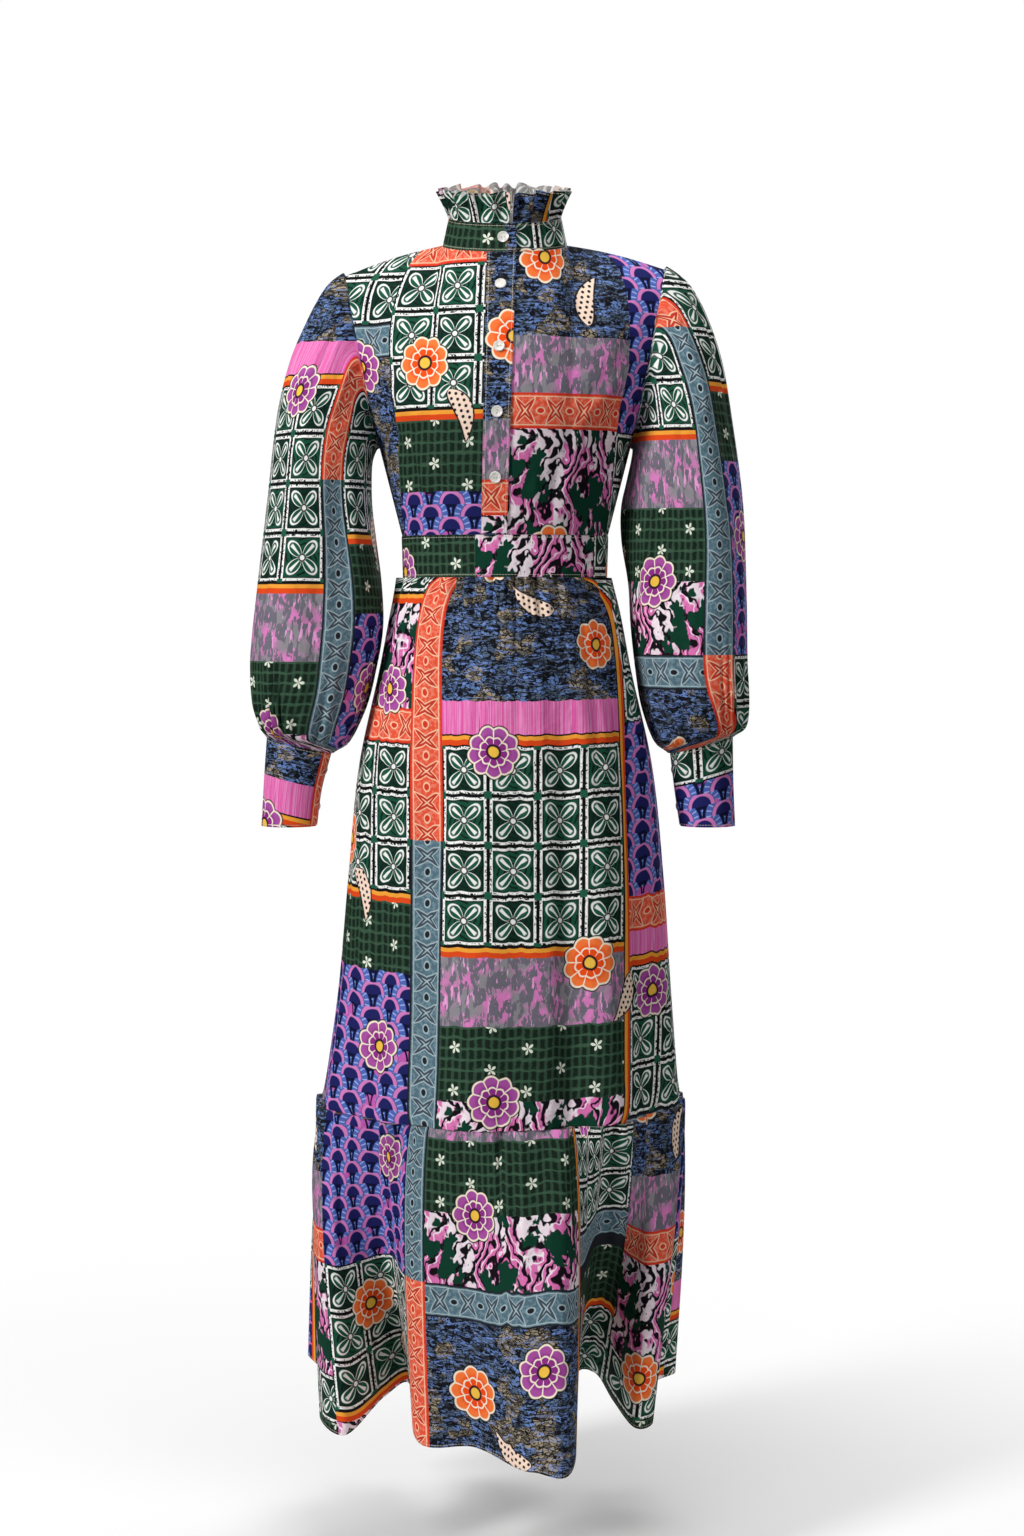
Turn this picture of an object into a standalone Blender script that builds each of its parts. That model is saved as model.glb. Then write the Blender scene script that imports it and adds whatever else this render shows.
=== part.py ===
"""A lantern sleeve midi dress, worn shape, hollow, at real size in metres.

+X is the viewer's right, the front faces -Y and +Z is up. The origin is the middle of the neck base,
where the wearer carries the dress. Every piece of cloth is a thin wall: an outer surface worked out from the
sizes below, and the same surface moved in by the cloth's thickness. Pieces that are sewn together stop
a seam gap short of each other. Angles run round the body from the viewer's right, the front at -90 degrees.
"""

import bisect
import math
from collections import namedtuple

import bmesh
import bpy
import numpy as np
from mathutils import Matrix, Vector

# Cloth and seams
CLOTH = 0.0020
BAND_CLOTH = 0.0026
BAND_PROUD = 0.0008
PLACKET_CLOTH = 0.0014
PLACKET_GAP = 0.0007
SEAM_GAP = 0.0003
STEP = 0.004
LEVEL = Vector((0, 0, 1))
FORWARD = Vector((0, 1, 0))
SIDEWAYS = Vector((1, 0, 0))

# Heights along the body, from the neck base down
SHOULDER_POINT = Vector((0.177, 0.010, -0.0285))
UNDERARM_POINT = Vector((0.140, 0.010, -0.223))
WAIST_TOP = -0.3215
WAIST_BOTTOM = -0.367
TIER_SEAM = -0.951
TIER_SEAM_FRONT_DIP = 0.009
HEM = -1.312

# Neck: rings of the stand and its ruffle, which lean with the neck
NECK_TILT = 0.230
NECK_SIDE_Z = -0.0005
NECK_HALF_WIDTH = 0.0690
NECK_HALF_DEPTH = 0.0600
STAND_HEIGHT = 0.031
STAND_TOP_HALF_WIDTH = 0.0625
STAND_TOP_HALF_DEPTH = 0.0560
STAND_LAP = 0.026
RUFFLE_HEIGHT = 0.031
RUFFLE_FLARE = 0.009
RUFFLE_WAVES = 20
COLUMNS_PER_WAVE = 4
RUFFLE_DEPTH = 0.0062
NECK_SIDE_DEG = 7.0

# Bodice
ARMHOLE_HALF_DEPTH = 0.051
BUST = 0.012
BLADES = 0.006
YOKE_FADE = 2.2
SHOULDER_SHARE = 0.62
SHOULDER_ROUND = 0.003
UNDERARM_SHARE = 0.66
WAIST_HALF_WIDTH = 0.1145
WAIST_TAPER = 0.0012
WAIST_FRONT = 0.0975
WAIST_BACK = 0.0850

# Front opening
PLACKET_WIDTH_TOP = 0.0315
PLACKET_WIDTH_BOTTOM = 0.0275
PLACKET_X_TOP = -0.0035
PLACKET_X_BOTTOM = -0.0115
PLACKET_TOP_Z = -0.0155
PLACKET_BOTTOM_Z = -0.3195
BUTTON_RADIUS = 0.00625
BUTTON_THICK = 0.0022
BUTTON_DISH = 0.0006
FRONT_BUTTON_Z = (-0.053, -0.122, -0.191, -0.260)
STAND_BUTTON_X = -0.0020
STAND_BUTTON_SHARE = 0.52
CUFF_BUTTON_RADIUS = 0.0050
CUFF_BUTTON_SHARES = (0.25, 0.75)

# Gathers: three columns of the grid make one gather
COLUMNS_PER_GATHER = 3
SKIRT_COLUMNS = 96
WAIST_GATHER_DEPTH = 0.0030
TIER_GATHER_DEPTH = 0.0034
GATHER_REACH = 0.055
SLEEVE_COLUMNS = 48
CAP_GATHER_DEPTH = 0.0024
CUFF_GATHER_DEPTH = 0.0034
UNEVEN_SPACING = 0.55

# Each row is a level ring of the upper skirt: height, middle, half width, depth in front and behind
Ring = namedtuple("Ring", "z middle_x half_width front back")
SKIRT_RINGS = (
    Ring(-0.367, -0.0005, 0.1145, 0.0985, 0.0860),
    Ring(-0.395, 0.0000, 0.1230, 0.1050, 0.0960),
    Ring(-0.470, 0.0000, 0.1400, 0.1160, 0.1140),
    Ring(-0.570, 0.0005, 0.1630, 0.1280, 0.1340),
    Ring(-0.700, 0.0010, 0.1770, 0.1390, 0.1480),
    Ring(-0.830, -0.0005, 0.1875, 0.1490, 0.1570),
    Ring(-0.955, -0.0045, 0.2010, 0.1580, 0.1660),
)

# Each row is a soft fold of the upper skirt, high where it is positive and a trough where it is negative
Fold = namedtuple("Fold", "deg half_deg middle foot")
SKIRT_FOLDS = (
    Fold(-118, 13, -0.0070, -0.0085),
    Fold(-98, 14, 0.0050, 0.0060),
    Fold(-67, 9, -0.0080, -0.0095),
    Fold(-52, 11, 0.0055, 0.0075),
    Fold(-34, 10, -0.0060, -0.0080),
    Fold(-18, 10, 0.0020, 0.0050),
    Fold(24, 13, -0.0060, -0.0085),
    Fold(48, 14, 0.0060, 0.0080),
    Fold(72, 11, -0.0070, -0.0090),
    Fold(95, 14, 0.0060, 0.0075),
    Fold(121, 13, -0.0070, -0.0090),
    Fold(146, 13, 0.0050, 0.0070),
    Fold(166, 9, -0.0030, -0.0060),
    Fold(202, 11, 0.0030, 0.0060),
    Fold(222, 11, -0.0060, -0.0080),
)

# Each row is the top or the bottom of one fold at the hem, with the angle of the seam that it falls from
HemPoint = namedtuple("HemPoint", "seam_deg x y lift")
HEM_POINTS = (
    HemPoint(-119, -0.100, -0.098, 0.000),
    HemPoint(-101, -0.032, -0.138, 0.000),
    HemPoint(-82, 0.030, -0.222, 0.000),
    HemPoint(-67, 0.076, -0.186, 0.002),
    HemPoint(-58, 0.080, 0.020, 0.030),
    HemPoint(-49, 0.104, 0.032, 0.032),
    HemPoint(-41, 0.122, -0.012, 0.014),
    HemPoint(-33, 0.142, -0.070, 0.002),
    HemPoint(-23, 0.165, -0.056, 0.001),
    HemPoint(-10, 0.160, 0.018, 0.016),
    HemPoint(9, 0.199, 0.088, 0.018),
    HemPoint(26, 0.160, 0.106, 0.022),
    HemPoint(46, 0.150, 0.190, 0.006),
    HemPoint(66, 0.076, 0.122, 0.022),
    HemPoint(86, 0.024, 0.214, 0.002),
    HemPoint(101, -0.044, 0.206, 0.002),
    HemPoint(116, -0.078, 0.116, 0.022),
    HemPoint(134, -0.140, 0.200, 0.004),
    HemPoint(149, -0.165, 0.134, 0.024),
    HemPoint(165, -0.234, 0.130, 0.028),
    HemPoint(179, -0.196, 0.038, 0.018),
    HemPoint(192, -0.208, -0.046, 0.006),
    HemPoint(205, -0.176, -0.098, 0.001),
    HemPoint(219, -0.136, -0.016, 0.020),
    HemPoint(231, -0.108, 0.000, 0.028),
)
FLOUNCE_PUFF = 0.0105
FLOUNCE_PUFF_POWER = 0.65
FLOUNCE_FALL_POWER = 0.92

# Each row is one ring of a sleeve: its outer and inner points seen from the front, and its depth
SleeveRing = namedtuple("SleeveRing", "outer_x outer_z inner_x inner_z y half_depth")
LEFT_SLEEVE_RINGS = (
    SleeveRing(0.1773, -0.0320, 0.1403, -0.2230, 0.010, 0.0510),
    SleeveRing(0.1815, -0.0323, 0.1435, -0.2255, 0.010, 0.0525),
    SleeveRing(0.2000, -0.0485, 0.1480, -0.2390, 0.009, 0.0600),
    SleeveRing(0.2205, -0.0835, 0.1490, -0.2610, 0.007, 0.0660),
    SleeveRing(0.2395, -0.1285, 0.1480, -0.2900, 0.004, 0.0700),
    SleeveRing(0.2540, -0.1900, 0.1435, -0.3270, 0.001, 0.0720),
    SleeveRing(0.2650, -0.2850, 0.1375, -0.3750, -0.003, 0.0740),
    SleeveRing(0.2768, -0.3850, 0.1362, -0.4256, -0.007, 0.0760),
    SleeveRing(0.2835, -0.4550, 0.1466, -0.4740, -0.011, 0.0750),
    SleeveRing(0.2800, -0.5020, 0.1590, -0.5140, -0.014, 0.0690),
    SleeveRing(0.2715, -0.5290, 0.1755, -0.5470, -0.016, 0.0540),
    SleeveRing(0.2650, -0.5440, 0.1930, -0.5620, -0.017, 0.0310),
)
RIGHT_SLEEVE_RINGS = (
    SleeveRing(0.1773, -0.0250, 0.1403, -0.2230, 0.010, 0.0510),
    SleeveRing(0.1820, -0.0253, 0.1425, -0.2255, 0.010, 0.0525),
    SleeveRing(0.2055, -0.0450, 0.1405, -0.2390, 0.009, 0.0600),
    SleeveRing(0.2255, -0.0800, 0.1355, -0.2610, 0.007, 0.0660),
    SleeveRing(0.2415, -0.1270, 0.1295, -0.2900, 0.004, 0.0700),
    SleeveRing(0.2525, -0.1900, 0.1300, -0.3270, 0.001, 0.0720),
    SleeveRing(0.2650, -0.2850, 0.1375, -0.3750, -0.003, 0.0740),
    SleeveRing(0.2695, -0.3850, 0.1405, -0.4256, -0.007, 0.0760),
    SleeveRing(0.2700, -0.4550, 0.1480, -0.4740, -0.011, 0.0750),
    SleeveRing(0.2700, -0.5020, 0.1565, -0.5140, -0.014, 0.0690),
    SleeveRing(0.2660, -0.5310, 0.1690, -0.5470, -0.016, 0.0540),
    SleeveRing(0.2535, -0.5440, 0.1835, -0.5620, -0.017, 0.0310),
)
LEFT_CUFF_RINGS = (
    SleeveRing(0.2655, -0.5444, 0.1925, -0.5624, -0.017, 0.0315),
    SleeveRing(0.2690, -0.5950, 0.2035, -0.6030, -0.018, 0.0305),
    SleeveRing(0.2718, -0.6430, 0.2090, -0.6430, -0.019, 0.0300),
)
RIGHT_CUFF_RINGS = (
    SleeveRing(0.2540, -0.5444, 0.1830, -0.5624, -0.017, 0.0315),
    SleeveRing(0.2548, -0.5950, 0.1880, -0.6030, -0.018, 0.0305),
    SleeveRing(0.2568, -0.6430, 0.1940, -0.6430, -0.019, 0.0300),
)
CUFF_COLUMNS = 28
CUFF_LAP_PHASE = 196.0
CUFF_LAP = 0.017
CUFF_RADIUS = 0.031

# Each row is a soft fold down the outer part of a sleeve, at a ring of its table
SleeveFold = namedtuple("SleeveFold", "phase_deg half_deg at size")
SLEEVE_FOLDS = (
    SleeveFold(62, 26, 5.5, 0.008),
    SleeveFold(110, 24, 5.5, -0.006),
    SleeveFold(286, 28, 6.0, 0.008),
)

# The two arms differ a little. A side has its sign along X, how high its shoulder is, and its rings
Side = namedtuple("Side", "name sign shoulder_lift sleeve_rings cuff_rings")
SIDES = (
    Side("left", -1, -0.0035, LEFT_SLEEVE_RINGS, LEFT_CUFF_RINGS),
    Side("right", 1, 0.0035, RIGHT_SLEEVE_RINGS, RIGHT_CUFF_RINGS),
)

# Material looks: base colour, roughness
PRINT_COLOURS = {
    "bodice": (0.10, 0.17, 0.15),
    "sleeve": (0.13, 0.15, 0.22),
    "skirt": (0.12, 0.20, 0.18),
    "flounce": (0.22, 0.14, 0.20),
    "collar": (0.55, 0.16, 0.10),
    "band": (0.30, 0.10, 0.25),
    "button": (0.80, 0.79, 0.74),
}


def clear_scene():
    for old in list(bpy.data.objects):
        bpy.data.objects.remove(old, do_unlink=True)


def material(name, colour, roughness):
    made = bpy.data.materials.new(name)
    made.use_nodes = True
    shader = made.node_tree.nodes["Principled BSDF"]
    shader.inputs["Base Color"].default_value = (*colour, 1.0)
    shader.inputs["Roughness"].default_value = roughness
    shader.inputs["Metallic"].default_value = 0.0
    return made


def smooth(share):
    """0 to 1 with no corner at either end."""
    share = min(max(share, 0.0), 1.0)
    return share * share * (3.0 - 2.0 * share)


def hump(distance, half_width):
    """1 in the middle of a fold, 0 from its half width outwards."""
    if abs(distance) >= half_width:
        return 0.0
    return 0.5 + 0.5 * math.cos(math.pi * distance / half_width)


def turn_between(a, b):
    """The signed angle from b to a, in degrees, the short way round."""
    return (a - b + 180.0) % 360.0 - 180.0


def column(rows, name):
    return [float(getattr(row, name)) for row in rows]


class Curve:
    """A smooth curve through values, one for each knot. A closed one comes round again after its period."""

    def __init__(self, knots, values, period=None):
        if period is not None:
            knots = [k - period for k in knots[-3:]] + knots + [k + period for k in knots[:3]]
            values = values[-3:] + values + values[:3]
        self.start = knots[3] if period is not None else None
        self.period = period
        self.knots = knots
        self.values = values
        self.slopes = [float(slope) for slope in np.gradient(values, knots)]

    def __call__(self, at):
        if self.period is not None:
            at = (at - self.start) % self.period + self.start
        i = min(max(bisect.bisect_right(self.knots, at) - 1, 0), len(self.knots) - 2)
        span = self.knots[i + 1] - self.knots[i]
        t = (at - self.knots[i]) / span
        near = (1 + 2 * t) * (1 - t) ** 2
        far = t * t * (3 - 2 * t)
        bend = self.slopes[i] * t * (1 - t) ** 2 - self.slopes[i + 1] * t * t * (1 - t)
        return self.values[i] * near + self.values[i + 1] * far + span * bend


def curves(rows, knot_name, names, period=None):
    """One curve for each named column of a table, along another of its columns."""
    knots = column(rows, knot_name)
    return {name: Curve(knots, column(rows, name), period) for name in names}


def link(name, bm, look):
    mesh = bpy.data.meshes.new(name)
    bm.to_mesh(mesh)
    bm.free()
    mesh.materials.append(look)
    mesh.shade_smooth()
    mesh.set_sharp_from_angle(angle=math.radians(50))
    made = bpy.data.objects.new(name, mesh)
    bpy.context.collection.objects.link(made)
    return made


def outward(surface, core, c, r, rim_axis=None):
    """The direction out of the cloth at (c, r), square to the rim's axis where there is one."""
    across = surface(c + STEP, r) - surface(c - STEP, r)
    along = surface(c, r + STEP) - surface(c, r - STEP)
    normal = across.cross(along).normalized()
    if normal.dot(surface(c, r) - core(r)) < 0:
        normal.negate()
    if rim_axis is not None:
        flat = normal - rim_axis * normal.dot(rim_axis)
        if flat.length > 0.3:
            normal = flat.normalized()
    return normal


def edge_rims(columns, rows, top=None, bottom=None, sides=None):
    """For each place on a grid, the axis that the wall's edge there is kept square to, or None."""

    def rim(c, r):
        if r == rows[0]:
            return top
        if r == rows[-1]:
            return bottom
        return sides if c in (columns[0], columns[-1]) else None

    return rim


def cloth_wall(name, surface, core, columns, rows, look, rim, thick=CLOTH, closed=False, lift=0.0):
    """A closed wall: the surface at every column and row, lifted out, and again at its inner side."""
    bm = bmesh.new()
    outer = []
    inner = []
    for r in rows:
        for c in columns:
            point = surface(c, r)
            direction = outward(surface, core, c, r, rim(c, r))
            outer.append(bm.verts.new(point + direction * lift))
            inner.append(bm.verts.new(point + direction * (lift - thick)))
    wide = len(columns)
    spans = wide if closed else wide - 1
    for j in range(len(rows) - 1):
        for i in range(spans):
            a, b = j * wide + i, j * wide + (i + 1) % wide
            d, e = a + wide, b + wide
            bm.faces.new((outer[a], outer[b], outer[e], outer[d]))
            bm.faces.new((inner[a], inner[d], inner[e], inner[b]))
    last = (len(rows) - 1) * wide
    for i in range(spans):
        k = (i + 1) % wide
        bm.faces.new((outer[i], inner[i], inner[k], outer[k]))
        bm.faces.new((outer[last + i], outer[last + k], inner[last + k], inner[last + i]))
    if not closed:
        for j in range(len(rows) - 1):
            a, d = j * wide, (j + 1) * wide
            bm.faces.new((outer[a], outer[d], inner[d], inner[a]))
            a, d = a + wide - 1, d + wide - 1
            bm.faces.new((outer[a], inner[a], inner[d], outer[d]))
    bmesh.ops.recalc_face_normals(bm, faces=bm.faces)
    bmesh.ops.triangulate(bm, faces=bm.faces, quad_method="SHORT_EDGE")
    return link(name, bm, look)


def numbered(rows):
    """The curves of a table whose rows are counted from its first one."""
    places = [float(i) for i in range(len(rows))]
    return {name: Curve(places, column(rows, name)) for name in rows[0]._fields}


SKIRT_CURVES = {
    name: Curve([-row.z for row in SKIRT_RINGS], column(SKIRT_RINGS, name)) for name in Ring._fields[1:]
}
HEM_CURVES = curves(HEM_POINTS, "seam_deg", ("x", "y", "lift"), period=360.0)
SLEEVE_CURVES = {side.name: numbered(side.sleeve_rings) for side in SIDES}
CUFF_CURVES = {side.name: numbered(side.cuff_rings) for side in SIDES}


def body_core(z):
    return Vector((0.0, 0.0, z))


def steps(start, stop, count):
    return [start + (stop - start) * i / count for i in range(count + 1)]


def ellipse_y(deg, front, back):
    """How far a ring of the body reaches forward or back at an angle."""
    depth = front if math.sin(math.radians(deg)) < 0 else back
    return depth * math.sin(math.radians(deg))


def neck_ring(deg, share):
    """The stand's surface: share 0 on the neckline, 1 at its top edge."""
    width = NECK_HALF_WIDTH + (STAND_TOP_HALF_WIDTH - NECK_HALF_WIDTH) * share
    depth = NECK_HALF_DEPTH + (STAND_TOP_HALF_DEPTH - NECK_HALF_DEPTH) * share
    x = width * math.cos(math.radians(deg))
    y = depth * math.sin(math.radians(deg))
    z = NECK_SIDE_Z + NECK_TILT * NECK_HALF_DEPTH * math.sin(math.radians(deg))
    return Vector((x, y, z + STAND_HEIGHT * share))


def neck_axis():
    """The direction that the neck leans in, square to its rings."""
    return Vector((0.0, -NECK_TILT, 1.0)).normalized()


def waist_ring(deg, z):
    share = (WAIST_TOP - z) / (WAIST_TOP - WAIST_BOTTOM)
    width = WAIST_HALF_WIDTH - WAIST_TAPER * share
    x = width * math.cos(math.radians(deg))
    return Vector((x, ellipse_y(deg, WAIST_FRONT, WAIST_BACK), z))


def placket_middle(z):
    share = (z - PLACKET_TOP_Z) / (PLACKET_BOTTOM_Z - PLACKET_TOP_Z)
    return PLACKET_X_TOP + (PLACKET_X_BOTTOM - PLACKET_X_TOP) * min(max(share, 0.0), 1.0)


def shoulder_point(sign):
    lift = next(side.shoulder_lift for side in SIDES if side.sign == sign)
    return SHOULDER_POINT + LEVEL * lift


def armhole(phase_deg, sign):
    """The ring where a sleeve joins: 0 at the shoulder point, 90 in front, 180 under the arm."""
    phase = math.radians(phase_deg)
    middle = (shoulder_point(sign) + UNDERARM_POINT) / 2
    half = (shoulder_point(sign) - UNDERARM_POINT) / 2
    return middle + half * math.cos(phase) - Vector((0, ARMHOLE_HALF_DEPTH * math.sin(phase), 0))


CentrePoint = namedtuple("CentrePoint", "share y z")
FRONT_CENTRE = (
    CentrePoint(0.00, -NECK_HALF_DEPTH, NECK_SIDE_Z - NECK_TILT * NECK_HALF_DEPTH),
    CentrePoint(0.28, -0.0990, -0.0850),
    CentrePoint(0.55, -0.1240, -0.1700),
    CentrePoint(0.80, -0.1130, -0.2540),
    CentrePoint(1.00, -0.0975, -0.3215),
)
BACK_CENTRE = (
    CentrePoint(0.00, NECK_HALF_DEPTH, NECK_SIDE_Z + NECK_TILT * NECK_HALF_DEPTH),
    CentrePoint(0.28, 0.0930, -0.0740),
    CentrePoint(0.55, 0.0980, -0.1650),
    CentrePoint(0.80, 0.0850, -0.2520),
    CentrePoint(1.00, 0.0850, -0.3215),
)


def bodice_surface(facing, sign):
    """Half a bodice panel. u runs from its middle to its side, v from its top edge to the waist.

    facing is -1 in front and 1 behind, sign is 1 on the viewer's right and -1 on the left.
    The four edges are the neckline with the shoulder, the centre line, the armhole with the side seam,
    and the waist. Between them the surface turns like an ellipse, filled out by bust or shoulder blades.
    """
    centre = FRONT_CENTRE if facing < 0 else BACK_CENTRE
    middle = curves(centre, "share", ("y", "z"))
    seam = Vector((0, facing * SEAM_GAP / 2, 0))
    neck_share = 1.0 - SHOULDER_SHARE

    def join_x(z):
        return sign * placket_middle(z) if facing < 0 else 0.0

    def centre_line(v):
        z = middle["z"](v)
        return Vector((join_x(z), middle["y"](v), z))

    start_deg = math.degrees(math.acos(join_x(0.0) / NECK_HALF_WIDTH))
    waist_deg = math.degrees(math.acos(join_x(WAIST_TOP) / WAIST_HALF_WIDTH))

    def top_line(u):
        if u < neck_share:
            deg = start_deg + (NECK_SIDE_DEG * facing - start_deg) * u / neck_share
            return neck_ring(facing * deg, 0.0) - Vector((0, 0, SEAM_GAP))
        t = (u - neck_share) / SHOULDER_SHARE
        neck_side = neck_ring(NECK_SIDE_DEG, 0.0) - Vector((0, 0, SEAM_GAP))
        return neck_side.lerp(shoulder_point(sign), t) + LEVEL * SHOULDER_ROUND * math.sin(math.pi * t)

    def waist_line(u):
        return waist_ring(facing * waist_deg * (1 - u), WAIST_TOP + SEAM_GAP)

    def side_line(v):
        if v < UNDERARM_SHARE:
            return armhole(-facing * 180.0 * v / UNDERARM_SHARE, sign)
        t = (v - UNDERARM_SHARE) / (1 - UNDERARM_SHARE)
        return armhole(180, sign).lerp(waist_line(1.0), t)

    def rounded(u, v):
        """A quarter of an ellipse from the centre line round to the side."""
        near = centre_line(v)
        far = side_line(v)
        turn = u * math.pi / 2
        forward = near.y * math.cos(turn) + far.y * (1 - math.cos(turn))
        return Vector((near.x + (far.x - near.x) * math.sin(turn), forward, near.z + (far.z - near.z) * u))

    def surface(u, v):
        u = min(max(u, 0.0), 1.0)
        v = min(max(v, 0.0), 1.0)
        point = rounded(u, v)
        point += (top_line(u) - rounded(u, 0.0)) * (1 - v) ** YOKE_FADE
        point += (waist_line(u) - rounded(u, 1.0)) * v ** YOKE_FADE
        fullness = BUST if facing < 0 else BLADES
        point.y += facing * fullness * (math.sin(math.pi * u) * math.sin(math.pi * v)) ** 2
        point += seam
        return Vector((sign * point.x, point.y, point.z))

    return surface


BODICE_ROWS = (0.0, 0.09, 0.2, 0.31, 0.42, 0.54, UNDERARM_SHARE, 0.78, 0.89, 1.0)


def bodice_core(v):
    return body_core(WAIST_TOP * v)


def bodice_rim(u, v):
    """Square to the waist seam, the shoulder and side seams and the front join, free at neck and armhole."""
    side = abs(u) == 1.0 and (v == 0.0 or v >= UNDERARM_SHARE)
    if v == 1.0:
        return LEVEL
    if side or (v == 0.0 and abs(u) >= 1.0 - SHOULDER_SHARE):
        return FORWARD
    return SIDEWAYS if u == 0.0 else None


def front_panel(side, look):
    half = bodice_surface(-1, side.sign)
    gap = SEAM_GAP / 2

    def surface(c, r):
        point = half(c, r)
        return point + Vector((side.sign * gap * (1 - c), 0, 0))

    columns = (0.0, 0.09, 0.19, 0.29, 1.0 - SHOULDER_SHARE, 0.5, 0.63, 0.76, 0.88, 1.0)
    return cloth_wall(f"bodice_front_{side.name}", surface, bodice_core, columns, BODICE_ROWS, look, bodice_rim)


def back_panel(look):
    halves = {sign: bodice_surface(1, sign) for sign in (-1, 1)}

    def surface(c, r):
        return halves[1 if c >= 0 else -1](abs(c), r)

    half = (0.14, 0.26, 1.0 - SHOULDER_SHARE, 0.5, 0.63, 0.76, 0.88, 1.0)
    columns = [-u for u in reversed(half)] + [0.0] + list(half)
    return cloth_wall("bodice_back", surface, bodice_core, columns, BODICE_ROWS, look, bodice_rim)


def front_at(x, z):
    """The point of the bodice front at a place seen from the front, and the way out of the cloth there."""
    half = bodice_surface(-1, 1 if x >= placket_middle(z) else -1)

    def column_at(v):
        u = 0.1
        for _ in range(5):
            slope = (half(u + 0.01, v).x - half(u, v).x) / 0.01
            u = min(max(u + (x - half(u, v).x) / slope, 0.0), 0.9)
        return u

    low = 0.0
    high = 1.0
    for _ in range(16):
        v = (low + high) / 2
        if half(column_at(v), v).z > z:
            low = v
        else:
            high = v
    u = column_at(v)
    return half(u, v), outward(half, bodice_core, max(u, 0.02), v)


def placket_surface(c, r):
    """c runs across the strip from 0 to 1, r down it."""
    z = PLACKET_TOP_Z + (PLACKET_BOTTOM_Z - PLACKET_TOP_Z) * r
    width = PLACKET_WIDTH_TOP + (PLACKET_WIDTH_BOTTOM - PLACKET_WIDTH_TOP) * r
    x = placket_middle(z) + width * (c - 0.5)
    return front_at(x, z)[0]


def placket(look):
    columns = steps(0.0, 1.0, 4)
    rows = steps(0.0, 1.0, 12)
    return cloth_wall(
        "placket", placket_surface, bodice_core, columns, rows, look, edge_rims(columns, rows, bottom=LEVEL),
        thick=PLACKET_CLOTH, lift=PLACKET_CLOTH + PLACKET_GAP,
    )


def lapped(ring, start_deg, turn, lap_deg, thick, core_of):
    """A strip once round with its end under its beginning. c counts degrees from the visible end."""
    room = thick + 2 * SEAM_GAP

    def surface(c, r):
        under = smooth((c - (360.0 - 1.2 * lap_deg)) / (0.9 * lap_deg))
        point = ring(start_deg + turn * c, r)
        inward = core_of(r) - point
        inward -= core_of.axis * inward.dot(core_of.axis)
        return point + inward.normalized() * room * under

    return surface


class Axis:
    """The middle line of a tube, from its first ring to its last."""

    def __init__(self, first, last):
        self.first = first
        self.last = last
        self.axis = (last - first).normalized()

    def __call__(self, share):
        return self.first.lerp(self.last, share)


def stand_strip():
    """The collar stand, open at the front where one end lies over the other."""
    visible_deg = -90.0 + math.degrees(math.asin(STAND_LAP / 2 / NECK_HALF_WIDTH))
    lap_deg = math.degrees(STAND_LAP / NECK_HALF_WIDTH)
    middle = Axis(Vector((0, 0, NECK_SIDE_Z)), Vector((0, 0, NECK_SIDE_Z + STAND_HEIGHT)))
    middle.axis = neck_axis()
    return lapped(neck_ring, visible_deg, -1, lap_deg, BAND_CLOTH, middle), middle, lap_deg


def collar_stand(look):
    surface, middle, lap_deg = stand_strip()
    columns = steps(0.0, 360.0 - 1.4 * lap_deg, 44) + steps(360.0 - lap_deg, 360.0 + lap_deg, 5)
    rows = (0.0, 0.5, 1.0)
    rim = edge_rims(columns, rows, top=neck_axis(), bottom=neck_axis())
    return cloth_wall("collar_stand", surface, middle, columns, rows, look, rim, thick=BAND_CLOTH)


def ruffle_surface(c, r):
    """c counts columns round the neck, r is 0 at the stand and 1 at the free edge."""
    r = max(r, 0.0)
    around = 360.0 * c / (RUFFLE_WAVES * COLUMNS_PER_WAVE)
    uneven = 3.0 * math.sin(math.radians(3 * around + 40)) + 2.0 * math.sin(math.radians(5 * around))
    fade = math.sin(math.radians(around / 2))
    deg = -84.0 + around + uneven * fade
    point = neck_ring(deg, 1.0)
    point.z += SEAM_GAP
    wave = math.cos(2 * math.pi * c / COLUMNS_PER_WAVE)
    size = 0.72 + 0.28 * math.sin(math.radians(2 * around + 70)) + 0.2 * math.sin(math.radians(7 * around))
    out = Vector((point.x, point.y, 0)).normalized()
    push = RUFFLE_FLARE * r ** 1.4 + RUFFLE_DEPTH * size * wave * r
    dip = -0.0045 * wave * size * r
    return point + out * push + Vector((0, 0, RUFFLE_HEIGHT * r + dip))


def collar_ruffle(look):
    count = RUFFLE_WAVES * COLUMNS_PER_WAVE
    base = NECK_SIDE_Z + STAND_HEIGHT
    columns = steps(0.35, count - 0.35, count - 1)
    rows = (0.0, 0.33, 0.68, 1.0)
    return cloth_wall(
        "collar_ruffle", ruffle_surface, lambda r: body_core(base + RUFFLE_HEIGHT * r), columns, rows, look,
        edge_rims(columns, rows, top=neck_axis()),
    )


def seam_angles(c):
    """The angle of a column of the skirt, unevenly spaced as gathers are, from 0 at the right side seam."""
    share = c / SKIRT_COLUMNS
    uneven = math.sin(2 * math.pi * 5 * share) + 0.6 * math.sin(2 * math.pi * 9 * share)
    return 360.0 * share + UNEVEN_SPACING * uneven


def gather(c, weight_at):
    """How far a gather stands out or in at a column, between -0.5 and 1."""
    wave = math.cos(2 * math.pi * c / COLUMNS_PER_GATHER)
    return wave * (0.75 + 0.25 * math.sin(1.7 * weight_at) + 0.15 * math.sin(3.1 * weight_at + 1.0))


def tier_seam_z(deg):
    return TIER_SEAM - TIER_SEAM_FRONT_DIP * max(0.0, -math.sin(math.radians(deg)))


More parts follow.
